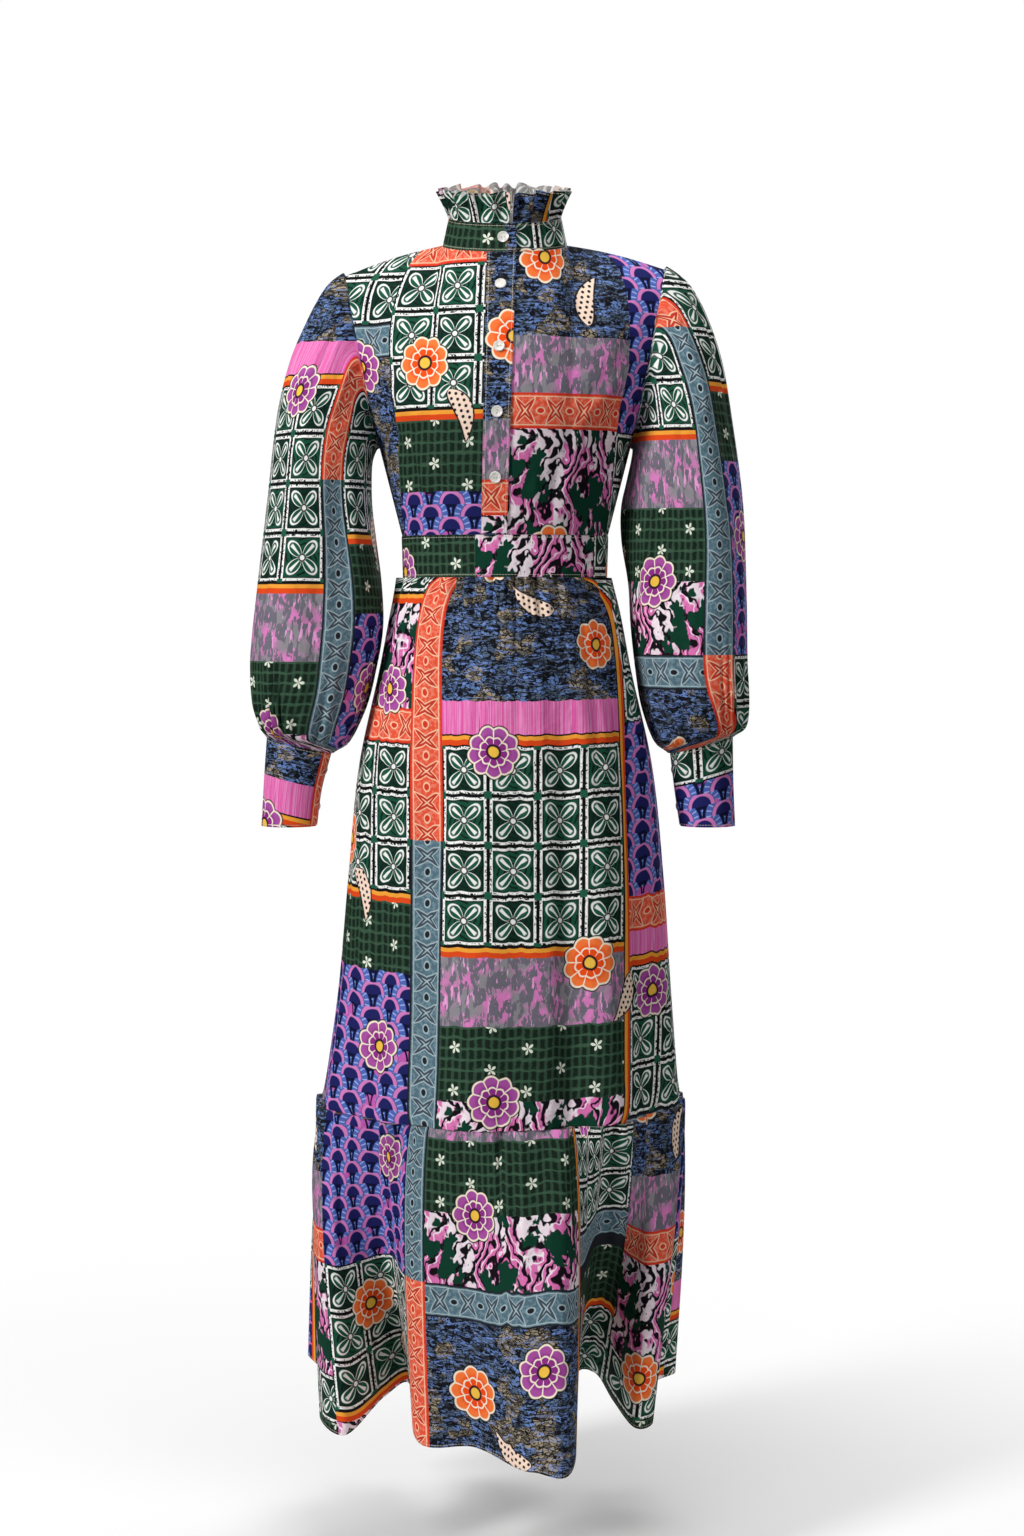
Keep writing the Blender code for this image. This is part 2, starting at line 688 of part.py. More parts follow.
def skirt_point(deg, z):
    """The upper skirt without its gathers."""
    read = {name: curve(-z) for name, curve in SKIRT_CURVES.items()}
    x = read["half_width"] * math.cos(math.radians(deg))
    y = ellipse_y(deg, read["front"], read["back"])
    share = (WAIST_BOTTOM - z) / (WAIST_BOTTOM - TIER_SEAM)
    fold = 0.0
    for row in SKIRT_FOLDS:
        size = row.middle * smooth(2 * share) + (row.foot - row.middle) * smooth(2 * share - 1)
        fold += size * hump(turn_between(deg, row.deg), row.half_deg)
    out = Vector((x / read["half_width"] ** 2, y / read["front"] ** 2, 0)).normalized()
    return Vector((read["middle_x"] + x, y, z)) + out * fold


def skirt_surface(c, r):
    deg = seam_angles(c)
    top = WAIST_BOTTOM - SEAM_GAP
    z = top + (tier_seam_z(deg) - top) * r
    point = skirt_point(deg, z)
    near = math.exp(-(top - z) / GATHER_REACH)
    out = Vector((point.x, point.y, 0)).normalized()
    return point + out * WAIST_GATHER_DEPTH * near * gather(c, deg / 23.0)


def hem_point(deg):
    """The hem below an angle of the seam: a smooth closed line through the fold table."""
    return Vector((HEM_CURVES["x"](deg), HEM_CURVES["y"](deg), HEM + HEM_CURVES["lift"](deg)))


def flounce_surface(c, r):
    deg = seam_angles(c)
    top_z = tier_seam_z(deg) - SEAM_GAP
    top = skirt_point(deg, tier_seam_z(deg))
    foot = hem_point(deg)
    fall = max(r, 0.0) ** FLOUNCE_FALL_POWER
    point = top.lerp(foot, fall)
    point.z = top_z + (foot.z - top_z) * r
    out = Vector((top.x, top.y, 0)).normalized()
    drop = top_z - point.z
    near = math.exp(-drop / GATHER_REACH)
    puff = FLOUNCE_PUFF * math.sin(math.pi * min(max(r, 0.0), 1.0) ** FLOUNCE_PUFF_POWER)
    return point + out * (puff + TIER_GATHER_DEPTH * near * gather(c + 1, deg / 19.0))


def half_rounds():
    """The columns of a front or back half, pulled in by half a seam gap at both side seams."""
    nudge = SEAM_GAP / 2 / 0.0075
    half = SKIRT_COLUMNS // 2
    back = [nudge] + [float(i) for i in range(1, half)] + [half - nudge]
    front = [half + nudge] + [float(i) for i in range(half + 1, 2 * half)] + [2 * half - nudge]
    return {"front": front, "back": back}


def skirt_tiers(skirt_look, flounce_look):
    skirt_rows = (0.0, 0.028, 0.066, 0.15, 0.28, 0.46, 0.66, 0.85, 1.0)
    flounce_rows = (0.0, 0.05, 0.14, 0.30, 0.52, 0.76, 1.0)
    for name, columns in half_rounds().items():
        cloth_wall(
            f"skirt_{name}", skirt_surface, lambda r: body_core(WAIST_BOTTOM + (TIER_SEAM - WAIST_BOTTOM) * r),
            columns, skirt_rows, skirt_look, edge_rims(columns, skirt_rows, LEVEL, LEVEL, FORWARD),
        )
        cloth_wall(
            f"flounce_{name}", flounce_surface, lambda r: body_core(TIER_SEAM + (HEM - TIER_SEAM) * r),
            columns, flounce_rows, flounce_look, edge_rims(columns, flounce_rows, LEVEL, LEVEL, FORWARD),
        )


def waistband(look):
    count = 22

    def surface(c, r):
        return waist_ring(c, WAIST_TOP + (WAIST_BOTTOM - WAIST_TOP) * r)

    nudge = math.degrees(SEAM_GAP / 2 / WAIST_BACK)
    rows = (0.0, 0.5, 1.0)
    for name, start in (("back", 0.0), ("front", 180.0)):
        columns = steps(start + nudge, start + 180.0 - nudge, count)
        cloth_wall(
            f"waistband_{name}", surface, lambda r: body_core(WAIST_TOP), columns, rows, look,
            edge_rims(columns, rows, LEVEL, LEVEL, FORWARD), thick=BAND_CLOTH, lift=BAND_PROUD,
        )


def tube_ring(rings, sign, phase_deg, at):
    """A point on a sleeve or a cuff. phase 0 is its outer side, 90 the front, 180 towards the body."""
    read = {name: curve(at) for name, curve in rings.items()}
    outer = Vector((sign * read["outer_x"], 0, read["outer_z"]))
    inner = Vector((sign * read["inner_x"], 0, read["inner_z"]))
    phase = math.radians(phase_deg)
    point = (outer + inner) / 2 + (outer - inner) / 2 * math.cos(phase)
    point.y = read["y"] - read["half_depth"] * math.sin(phase)
    return point


def tube_core(rings, sign, at):
    return (tube_ring(rings, sign, 0, at) + tube_ring(rings, sign, 180, at)) / 2


def ring_axis(ring, side):
    """The direction square to a ring of a sleeve or a cuff."""
    slope = Vector((side.sign * (ring.outer_x - ring.inner_x), 0, ring.outer_z - ring.inner_z))
    return slope.cross(FORWARD).normalized()


def sleeve(side, look):
    rings = SLEEVE_CURVES[side.name]
    last = float(len(side.sleeve_rings) - 1)

    def core(r):
        return tube_core(rings, side.sign, min(max(r, 0.0), last))

    def surface(c, r):
        turn = 360.0 * c / SLEEVE_COLUMNS
        phase = turn - 18.0 * math.sin(math.radians(turn))
        r = min(max(r, 0.0), last)
        point = tube_ring(rings, side.sign, phase, r)
        cap = hump(turn_between(phase, 0), 80) * hump(r - 1.6, 2.4) * CAP_GATHER_DEPTH
        foot = smooth((r - 7.6) / 3.0) * CUFF_GATHER_DEPTH * (1.0 - 0.55 * smooth(r - 10.2))
        size = gather(c, c / 4.0) * (cap + foot)
        for fold in SLEEVE_FOLDS:
            size += fold.size * hump(turn_between(phase, fold.phase_deg), fold.half_deg) * hump(r - fold.at, 4.0)
        return point + (point - core(r)).normalized() * size

    columns = [float(i) for i in range(SLEEVE_COLUMNS)]
    rows = [float(i) for i in range(len(side.sleeve_rings))]
    axes = [ring_axis(side.sleeve_rings[i], side) for i in (0, -1)]
    rim = edge_rims(columns, rows, *axes)
    return cloth_wall(f"sleeve_{side.name}", surface, core, columns, rows, look, rim, closed=True)


def cuff_strip(side):
    rings = CUFF_CURVES[side.name]
    last = len(side.cuff_rings) - 1
    middle = Axis(tube_core(rings, side.sign, 0), tube_core(rings, side.sign, last))

    def ring(deg, r):
        return tube_ring(rings, side.sign, deg, min(max(r, 0.0), 1.0) * last)

    lap_deg = math.degrees(CUFF_LAP / CUFF_RADIUS)
    return lapped(ring, CUFF_LAP_PHASE, 1, lap_deg, CLOTH, middle), middle, lap_deg


def cuff(side, look):
    surface, middle, lap_deg = cuff_strip(side)
    columns = steps(0.0, 360.0 - 1.4 * lap_deg, CUFF_COLUMNS) + steps(360.0 - lap_deg, 360.0 + 0.9 * lap_deg, 5)
    rows = (0.0, 0.5, 1.0)
    rim = edge_rims(columns, rows, ring_axis(side.cuff_rings[0], side), LEVEL)
    return cloth_wall(f"cuff_{side.name}", surface, middle, columns, rows, look, rim)


def button(name, point, out, radius, look):
    """A dished disc turned about its own axis, lying on the cloth."""
    profile = (
        (0.0, 0.0),
        (0.84 * radius, 0.0),
        (radius, 0.45 * BUTTON_THICK),
        (0.92 * radius, BUTTON_THICK),
        (0.70 * radius, BUTTON_THICK - BUTTON_DISH),
        (0.0, BUTTON_THICK - BUTTON_DISH),
    )
    bm = bmesh.new()
    points = [bm.verts.new((x, 0.0, z)) for x, z in profile]
    edges = [bm.edges.new(pair) for pair in zip(points, points[1:])]
    bmesh.ops.spin(
        bm, geom=points + edges, cent=(0, 0, 0), axis=(0, 0, 1), angle=math.tau, steps=14, use_merge=True,
    )
    bmesh.ops.remove_doubles(bm, verts=bm.verts, dist=1e-6)
    bmesh.ops.recalc_face_normals(bm, faces=bm.faces)
    made = link(name, bm, look)
    turn = out.to_track_quat("Z", "Y").to_matrix().to_4x4()
    made.matrix_world = Matrix.Translation(point + out * SEAM_GAP) @ turn
    return made


def buttons(look):
    for number, z in enumerate(FRONT_BUTTON_Z, start=1):
        point, out = front_at(placket_middle(z), z)
        top = point + out * (PLACKET_CLOTH + PLACKET_GAP)
        button(f"button_front_{number}", top, out, BUTTON_RADIUS, look)
    surface, middle, _ = stand_strip()
    deg = math.degrees(math.acos(STAND_BUTTON_X / NECK_HALF_WIDTH))
    turned = (-90.0 + math.degrees(math.asin(STAND_LAP / 2 / NECK_HALF_WIDTH))) + deg
    point = surface(turned, STAND_BUTTON_SHARE)
    button("button_stand", point, outward(surface, middle, turned, STAND_BUTTON_SHARE), BUTTON_RADIUS, look)
    for side in SIDES:
        surface, middle, lap_deg = cuff_strip(side)
        for number, share in enumerate(CUFF_BUTTON_SHARES, start=1):
            at = 0.5 * lap_deg
            point = surface(at, share)
            out = outward(surface, middle, at, share)
            button(f"button_cuff_{side.name}_{number}", point, out, CUFF_BUTTON_RADIUS, look)


def build():
    clear_scene()
    looks = {
        name: material(f"{name}_cloth" if name != "button" else "pearl_button", colour, 0.8)
        for name, colour in PRINT_COLOURS.items()
    }
    looks["button"].node_tree.nodes["Principled BSDF"].inputs["Roughness"].default_value = 0.25
    for side in SIDES:
        front_panel(side, looks["bodice"])
        sleeve(side, looks["sleeve"])
        cuff(side, looks["sleeve"])
    back_panel(looks["bodice"])
    placket(looks["collar"])
    collar_stand(looks["collar"])
    collar_ruffle(looks["collar"])
    waistband(looks["band"])
    skirt_tiers(looks["skirt"], looks["flounce"])
    buttons(looks["button"])


build()
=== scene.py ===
"""Lantern sleeve midi dress: printed cloth, sewing, buttons, soft studio light and the camera.

Each cloth piece is cut flat, printed, and then worn: a grid takes its flat place first, is cut along the
patches of the print, and moves to its worn place. Metres, +X to the viewer's right, the front faces -Y.
"""

import math
from collections import namedtuple

import bmesh
import bpy
import numpy as np
from mathutils import Matrix, Vector
from mathutils.kdtree import KDTree


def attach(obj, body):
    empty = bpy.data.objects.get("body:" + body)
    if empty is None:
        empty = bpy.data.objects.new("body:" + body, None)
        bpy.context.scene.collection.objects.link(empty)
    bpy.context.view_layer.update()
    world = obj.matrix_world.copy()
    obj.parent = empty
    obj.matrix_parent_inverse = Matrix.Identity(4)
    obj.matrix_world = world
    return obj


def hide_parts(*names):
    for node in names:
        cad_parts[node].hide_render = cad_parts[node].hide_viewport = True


bl_info = {
    "name": "Lantern sleeve midi dress",
    "version": (1, 0, 0),
    "blender": (4, 5, 0),
    "location": "View3D > Sidebar > Dress",
    "description": "Builds a worn lantern sleeve midi dress with a patchwork print around its packed frame",
    "category": "Object",
}

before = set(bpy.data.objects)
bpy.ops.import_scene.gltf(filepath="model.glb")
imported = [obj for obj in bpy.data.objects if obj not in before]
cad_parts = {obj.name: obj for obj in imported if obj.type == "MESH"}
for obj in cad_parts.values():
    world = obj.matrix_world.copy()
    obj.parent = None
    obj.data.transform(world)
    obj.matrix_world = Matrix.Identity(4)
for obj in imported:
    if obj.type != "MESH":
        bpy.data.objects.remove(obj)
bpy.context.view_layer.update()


def table(kind, *rows):
    return tuple(kind(*row) for row in rows)


# Sizes shared with the solids, in metres

SHOULDER = np.array((0.177, 0.010, -0.0285))
UNDERARM = np.array((0.140, 0.010, -0.223))
SHOULDER_LIFTS = {-1: -0.0035, 1: 0.0035}
WAIST_TOP = -0.3215
WAIST_BOTTOM = -0.367
TIER_SEAM = -0.951
TIER_SEAM_FRONT_DIP = 0.009
HEM = -1.312
SEAM_GAP = 0.0003
NECK_TILT = 0.230
NECK_SIDE_Z = -0.0005
NECK_HALF_WIDTH = 0.0690
NECK_HALF_DEPTH = 0.0600
STAND_HEIGHT = 0.031
STAND_TOP_HALF_WIDTH = 0.0625
STAND_TOP_HALF_DEPTH = 0.0560
STAND_LAP = 0.026
STAND_LAP_ROOM = 0.0030
RUFFLE_HEIGHT = 0.031
RUFFLE_FLARE = 0.009
RUFFLE_WAVES = 20
RUFFLE_DEPTH = 0.0062
NECK_SIDE_DEG = 7.0
ARMHOLE_HALF_DEPTH = 0.051
BUST = 0.012
BLADES = 0.006
YOKE_FADE = 2.2
SHOULDER_SHARE = 0.62
SHOULDER_ROUND = 0.003
UNDERARM_SHARE = 0.66
WAIST_HALF_WIDTH = 0.1145
WAIST_TAPER = 0.0012
WAIST_FRONT = 0.0975
WAIST_BACK = 0.0850
BAND_PROUD = 0.0008
PLACKET_WIDTH_TOP = 0.0315
PLACKET_WIDTH_BOTTOM = 0.0275
PLACKET_X_TOP = -0.0035
PLACKET_X_BOTTOM = -0.0115
PLACKET_TOP_Z = -0.0155
PLACKET_BOTTOM_Z = -0.3195
TURNS = 48
# How far down the gathers of a seam reach, and the length of seam for each count of c at the waist
GATHER_REACH = 0.055
GATHER_STEP = 0.0075
# How far the large gathers and the narrow ones between them stand out
WAIST_GATHER = 0.0044
WAIST_FINE = 0.0032
TIER_RISE = 0.0019
TIER_RISE_REACH = 0.018
TIER_GATHER = 0.0060
TIER_FINE = 0.0038
CAP_GATHER = 0.0024
CAP_FINE = 0.0018
CUFF_GATHER = 0.0034
CUFF_FINE = 0.0026
RUFFLE_DROP = 0.0022
RUFFLE_FINE = 0.0016
CUFF_LAP_PHASE = 196.0
CUFF_LAP = 0.017
CUFF_LAP_ROOM = 0.0026
CUFF_RADIUS = 0.031

Ring = namedtuple("Ring", "z middle_x half_width front back")
SKIRT_RINGS = table(
    Ring,
    (-0.367, -0.0005, 0.1145, 0.0985, 0.0860),
    (-0.395, 0.0000, 0.1230, 0.1050, 0.0960),
    (-0.470, 0.0000, 0.1400, 0.1160, 0.1140),
    (-0.570, 0.0005, 0.1630, 0.1280, 0.1340),
    (-0.700, 0.0010, 0.1770, 0.1390, 0.1480),
    (-0.830, -0.0005, 0.1875, 0.1490, 0.1570),
    (-0.955, -0.0045, 0.2010, 0.1580, 0.1660),
)

Fold = namedtuple("Fold", "deg half_deg middle foot")
SKIRT_FOLDS = table(
    Fold,
    (-118, 13, -0.0070, -0.0085),
    (-98, 14, 0.0050, 0.0060),
    (-67, 9, -0.0080, -0.0095),
    (-52, 11, 0.0055, 0.0075),
    (-34, 10, -0.0060, -0.0080),
    (-18, 10, 0.0020, 0.0050),
    (24, 13, -0.0060, -0.0085),
    (48, 14, 0.0060, 0.0080),
    (72, 11, -0.0070, -0.0090),
    (95, 14, 0.0060, 0.0075),
    (121, 13, -0.0070, -0.0090),
    (146, 13, 0.0050, 0.0070),
    (166, 9, -0.0030, -0.0060),
    (202, 11, 0.0030, 0.0060),
    (222, 11, -0.0060, -0.0080),
)

HemPoint = namedtuple("HemPoint", "seam_deg x y lift")
HEM_POINTS = table(
    HemPoint,
    (-119, -0.100, -0.098, 0.000),
    (-101, -0.032, -0.138, 0.000),
    (-82, 0.030, -0.222, 0.000),
    (-67, 0.076, -0.186, 0.002),
    (-58, 0.080, 0.020, 0.030),
    (-49, 0.104, 0.032, 0.032),
    (-41, 0.122, -0.012, 0.014),
    (-33, 0.142, -0.070, 0.002),
    (-23, 0.165, -0.056, 0.001),
    (-10, 0.160, 0.018, 0.016),
    (9, 0.199, 0.088, 0.018),
    (26, 0.160, 0.106, 0.022),
    (46, 0.150, 0.190, 0.006),
    (66, 0.076, 0.122, 0.022),
    (86, 0.024, 0.214, 0.002),
    (101, -0.044, 0.206, 0.002),
    (116, -0.078, 0.116, 0.022),
    (134, -0.140, 0.200, 0.004),
    (149, -0.165, 0.134, 0.024),
    (165, -0.234, 0.130, 0.028),
    (179, -0.196, 0.038, 0.018),
    (192, -0.208, -0.046, 0.006),
    (205, -0.176, -0.098, 0.001),
    (219, -0.136, -0.016, 0.020),
    (231, -0.108, 0.000, 0.028),
)
FLOUNCE_PUFF = 0.0105
FLOUNCE_PUFF_POWER = 0.65
FLOUNCE_FALL_POWER = 0.92

SleeveRing = namedtuple("SleeveRing", "outer_x outer_z inner_x inner_z y half_depth")
SLEEVE_RINGS = {
    -1: table(
        SleeveRing,
        (0.1773, -0.0320, 0.1403, -0.2230, 0.010, 0.0510),
        (0.1815, -0.0323, 0.1435, -0.2255, 0.010, 0.0525),
        (0.2000, -0.0485, 0.1480, -0.2390, 0.009, 0.0600),
        (0.2205, -0.0835, 0.1490, -0.2610, 0.007, 0.0660),
        (0.2395, -0.1285, 0.1480, -0.2900, 0.004, 0.0700),
        (0.2540, -0.1900, 0.1435, -0.3270, 0.001, 0.0720),
        (0.2650, -0.2850, 0.1375, -0.3750, -0.003, 0.0740),
        (0.2768, -0.3850, 0.1362, -0.4256, -0.007, 0.0760),
        (0.2835, -0.4550, 0.1466, -0.4740, -0.011, 0.0750),
        (0.2800, -0.5020, 0.1590, -0.5140, -0.014, 0.0690),
        (0.2715, -0.5290, 0.1755, -0.5470, -0.016, 0.0540),
        (0.2650, -0.5440, 0.1930, -0.5620, -0.017, 0.0310),
    ),
    1: table(
        SleeveRing,
        (0.1773, -0.0250, 0.1403, -0.2230, 0.010, 0.0510),
        (0.1820, -0.0253, 0.1425, -0.2255, 0.010, 0.0525),
        (0.2055, -0.0450, 0.1405, -0.2390, 0.009, 0.0600),
        (0.2255, -0.0800, 0.1355, -0.2610, 0.007, 0.0660),
        (0.2415, -0.1270, 0.1295, -0.2900, 0.004, 0.0700),
        (0.2525, -0.1900, 0.1300, -0.3270, 0.001, 0.0720),
        (0.2650, -0.2850, 0.1375, -0.3750, -0.003, 0.0740),
        (0.2695, -0.3850, 0.1405, -0.4256, -0.007, 0.0760),
        (0.2700, -0.4550, 0.1480, -0.4740, -0.011, 0.0750),
        (0.2700, -0.5020, 0.1565, -0.5140, -0.014, 0.0690),
        (0.2660, -0.5310, 0.1690, -0.5470, -0.016, 0.0540),
        (0.2535, -0.5440, 0.1835, -0.5620, -0.017, 0.0310),
    ),
}
CUFF_RINGS = {
    -1: table(
        SleeveRing,
        (0.2655, -0.5444, 0.1925, -0.5624, -0.017, 0.0315),
        (0.2690, -0.5950, 0.2035, -0.6030, -0.018, 0.0305),
        (0.2718, -0.6430, 0.2090, -0.6430, -0.019, 0.0300),
    ),
    1: table(
        SleeveRing,
        (0.2540, -0.5444, 0.1830, -0.5624, -0.017, 0.0315),
        (0.2548, -0.5950, 0.1880, -0.6030, -0.018, 0.0305),
        (0.2568, -0.6430, 0.1940, -0.6430, -0.019, 0.0300),
    ),
}
SleeveFold = namedtuple("SleeveFold", "phase_deg half_deg at size")
SLEEVE_FOLDS = table(
    SleeveFold,
    (62, 26, 5.5, 0.008),
    (110, 24, 5.5, -0.006),
    (286, 28, 6.0, 0.008),
)
CentrePoint = namedtuple("CentrePoint", "share y z")
CENTRES = {
    -1: table(
        CentrePoint,
        (0.00, -NECK_HALF_DEPTH, NECK_SIDE_Z - NECK_TILT * NECK_HALF_DEPTH),
        (0.28, -0.0990, -0.0850),
        (0.55, -0.1240, -0.1700),
        (0.80, -0.1130, -0.2540),
        (1.00, -0.0975, -0.3215),
    ),
    1: table(
        CentrePoint,
        (0.00, NECK_HALF_DEPTH, NECK_SIDE_Z + NECK_TILT * NECK_HALF_DEPTH),
        (0.28, 0.0930, -0.0740),
        (0.55, 0.0980, -0.1650),
        (0.80, 0.0850, -0.2520),
        (1.00, 0.0850, -0.3215),
    ),
}


# The printed cloth, in centimetres: columns of patches that repeat across and down

Strip = namedtuple("Strip", "width patches")
STRIPS = (
    Strip(16.2, ((16.2, "tiles"), (1.2, "bars"), (11.6, "waves"), (3.8, "rust_border"), (16.2, "tiles"),
                 (1.2, "bars"), (7.6, "hatch"), (21.2, "scallops"))),
    Strip(3.8, ((43.2, "rust_border"), (35.8, "slate_border"))),
    Strip(21.6, ((3.8, "slate_border"), (24.2, "pebbles"), (3.6, "strie"), (1.2, "bars"), (21.6, "tiles"),
                 (1.2, "bars"), (7.4, "mottle"), (8.0, "hatch"), (8.0, "waves"))),
    Strip(1.0, ((79.0, "bars"),)),
    Strip(16.2, ((8.0, "hatch"), (1.2, "bars"), (21.6, "tiles"), (19.0, "scallops"), (3.8, "rust_border"),
                 (2.6, "strie"), (1.2, "bars"), (16.2, "tiles"), (5.4, "slate_border"))),
    Strip(14.2, ((12.4, "waves"), (5.4, "tiles"), (4.2, "hatch"), (1.2, "bars"), (16.2, "tiles"),
                 (3.8, "slate_border"), (25.8, "pebbles"), (6.2, "mottle"), (3.8, "rust_border"))),
)
REPEAT_WIDTH = sum(strip.width for strip in STRIPS)
REPEAT_HEIGHT = 79.0

# Round blooms and dotted leaves strewn over the patches, in centimetres of the repeat. On the bloom layer each
# kind has its own stretch, this far from the last, and a face out of reach of all blooms lies between two
BLOOM_STEP = 10.0
BLOOM_NONE = 5.0
BLOOM_REACH = 1.5
Bloom = namedtuple("Bloom", "x y radius turn kind")
BLOOMS = table(
    Bloom,
    (6.5, 5.6, 3.1, 10, 0),
    (12.5, 27.0, 2.9, 40, 1),
    (4.5, 44.0, 3.1, 75, 0),
    (12.0, 66.0, 3.0, 20, 1),
    (25.5, 12.0, 3.2, 0, 0),
    (35.0, 8.5, 3.0, 15, 1),
    (38.5, 22.0, 2.9, 50, 0),
    (26.0, 33.5, 3.0, 30, 1),
    (37.0, 56.5, 3.1, 66, 0),
    (26.5, 71.0, 3.0, 80, 1),
    (48.0, 5.5, 2.9, 25, 1),
    (55.0, 33.5, 3.1, 5, 0),
    (47.0, 60.5, 3.0, 55, 1),
    (64.0, 13.0, 3.0, 35, 0),
    (68.5, 44.0, 3.0, 12, 1),
    (62.5, 60.0, 3.2, 70, 0),
    (11.0, 11.0, 3.0, 35, 2),
    (9.5, 49.5, 3.0, 160, 2),
    (30.5, 17.5, 2.9, 300, 2),
    (42.0, 61.0, 2.9, 210, 2),
    (59.5, 38.5, 3.0, 120, 2),
    (68.0, 64.5, 3.0, 20, 2),
    (51.0, 12.0, 2.8, 250, 2),
)
KINDS = (
    "tiles", "slate_border", "rust_border", "pebbles", "waves", "scallops", "hatch", "mottle", "strie", "bars",
)

# A soft crease: from one place on the flat piece to another, in centimetres, with its half width and rise
Crease = namedtuple("Crease", "x0 y0 x1 y1 half rise")


def smooth(share):
    share = np.clip(share, 0.0, 1.0)
    return share * share * (3.0 - 2.0 * share)


def hump(distance, half):
    return np.where(np.abs(distance) < half, 0.5 + 0.5 * np.cos(np.pi * distance / half), 0.0)


def turn_between(a, b):
    return (a - b + 180.0) % 360.0 - 180.0


def sin_deg(angle):
    return np.sin(np.radians(angle))


def cos_deg(angle):
    return np.cos(np.radians(angle))


def stacked(x, y, z):
    return np.stack(np.broadcast_arrays(x, y, z), axis=-1).astype(float)


def unit(vectors):
    return vectors / np.maximum(np.linalg.norm(vectors, axis=-1, keepdims=True), 1e-9)


class Curve:
    """A smooth curve through values, one for each knot. A closed one comes round again after its period."""

    def __init__(self, knots, values, period=None):
        knots = [float(k) for k in knots]
        values = [float(v) for v in values]
        if period is not None:
            knots = [k - period for k in knots[-3:]] + knots + [k + period for k in knots[:3]]
            values = values[-3:] + values + values[:3]
        self.start = knots[3] if period is not None else None
        self.period = period
        self.knots = np.array(knots)
        self.values = np.array(values)
        self.slopes = np.gradient(self.values, self.knots)

    def __call__(self, at):
        at = np.asarray(at, float)
        if self.period is not None:
            at = (at - self.start) % self.period + self.start
        i = np.clip(np.searchsorted(self.knots, at, side="right") - 1, 0, len(self.knots) - 2)
        span = self.knots[i + 1] - self.knots[i]
        t = (at - self.knots[i]) / span
        near = (1 + 2 * t) * (1 - t) ** 2
        far = t * t * (3 - 2 * t)
        bend = self.slopes[i] * t * (1 - t) ** 2 - self.slopes[i + 1] * t * t * (1 - t)
        return self.values[i] * near + self.values[i + 1] * far + span * bend


def curves(rows, names, knots, period=None):
    return {name: Curve(knots, [getattr(row, name) for row in rows], period) for name in names}


SKIRT_CURVES = curves(SKIRT_RINGS, Ring._fields[1:], [-row.z for row in SKIRT_RINGS])
HEM_CURVES = curves(HEM_POINTS, ("x", "y", "lift"), [row.seam_deg for row in HEM_POINTS], 360.0)
SLEEVE_CURVES = {sign: curves(rows, SleeveRing._fields, range(len(rows))) for sign, rows in SLEEVE_RINGS.items()}
CUFF_CURVES = {sign: curves(rows, SleeveRing._fields, range(len(rows))) for sign, rows in CUFF_RINGS.items()}
CENTRE_CURVES = {
    facing: curves(rows, ("y", "z"), [row.share for row in rows]) for facing, rows in CENTRES.items()
}


# Worn surfaces, the same forms as the solids. c runs round a piece and r runs down it

def neck_ring(deg, share):
    width = NECK_HALF_WIDTH + (STAND_TOP_HALF_WIDTH - NECK_HALF_WIDTH) * share
    depth = NECK_HALF_DEPTH + (STAND_TOP_HALF_DEPTH - NECK_HALF_DEPTH) * share
    z = NECK_SIDE_Z + NECK_TILT * NECK_HALF_DEPTH * sin_deg(deg) + STAND_HEIGHT * share
    return stacked(width * cos_deg(deg), depth * sin_deg(deg), z)


def waist_ring(deg, z):
    share = (WAIST_TOP - z) / (WAIST_TOP - WAIST_BOTTOM)
    depth = np.where(sin_deg(deg) < 0, WAIST_FRONT, WAIST_BACK)
    return stacked((WAIST_HALF_WIDTH - WAIST_TAPER * share) * cos_deg(deg), depth * sin_deg(deg), z)


def placket_middle(z):
    share = np.clip((z - PLACKET_TOP_Z) / (PLACKET_BOTTOM_Z - PLACKET_TOP_Z), 0.0, 1.0)
    return PLACKET_X_TOP + (PLACKET_X_BOTTOM - PLACKET_X_TOP) * share


def armhole(phase, sign):
    top = SHOULDER + np.array((0, 0, SHOULDER_LIFTS[sign]))
    middle = (top + UNDERARM) / 2
    half = (top - UNDERARM) / 2
    along = middle + half * cos_deg(phase)[..., None]
    return along - stacked(0.0, ARMHOLE_HALF_DEPTH * sin_deg(phase), 0.0)


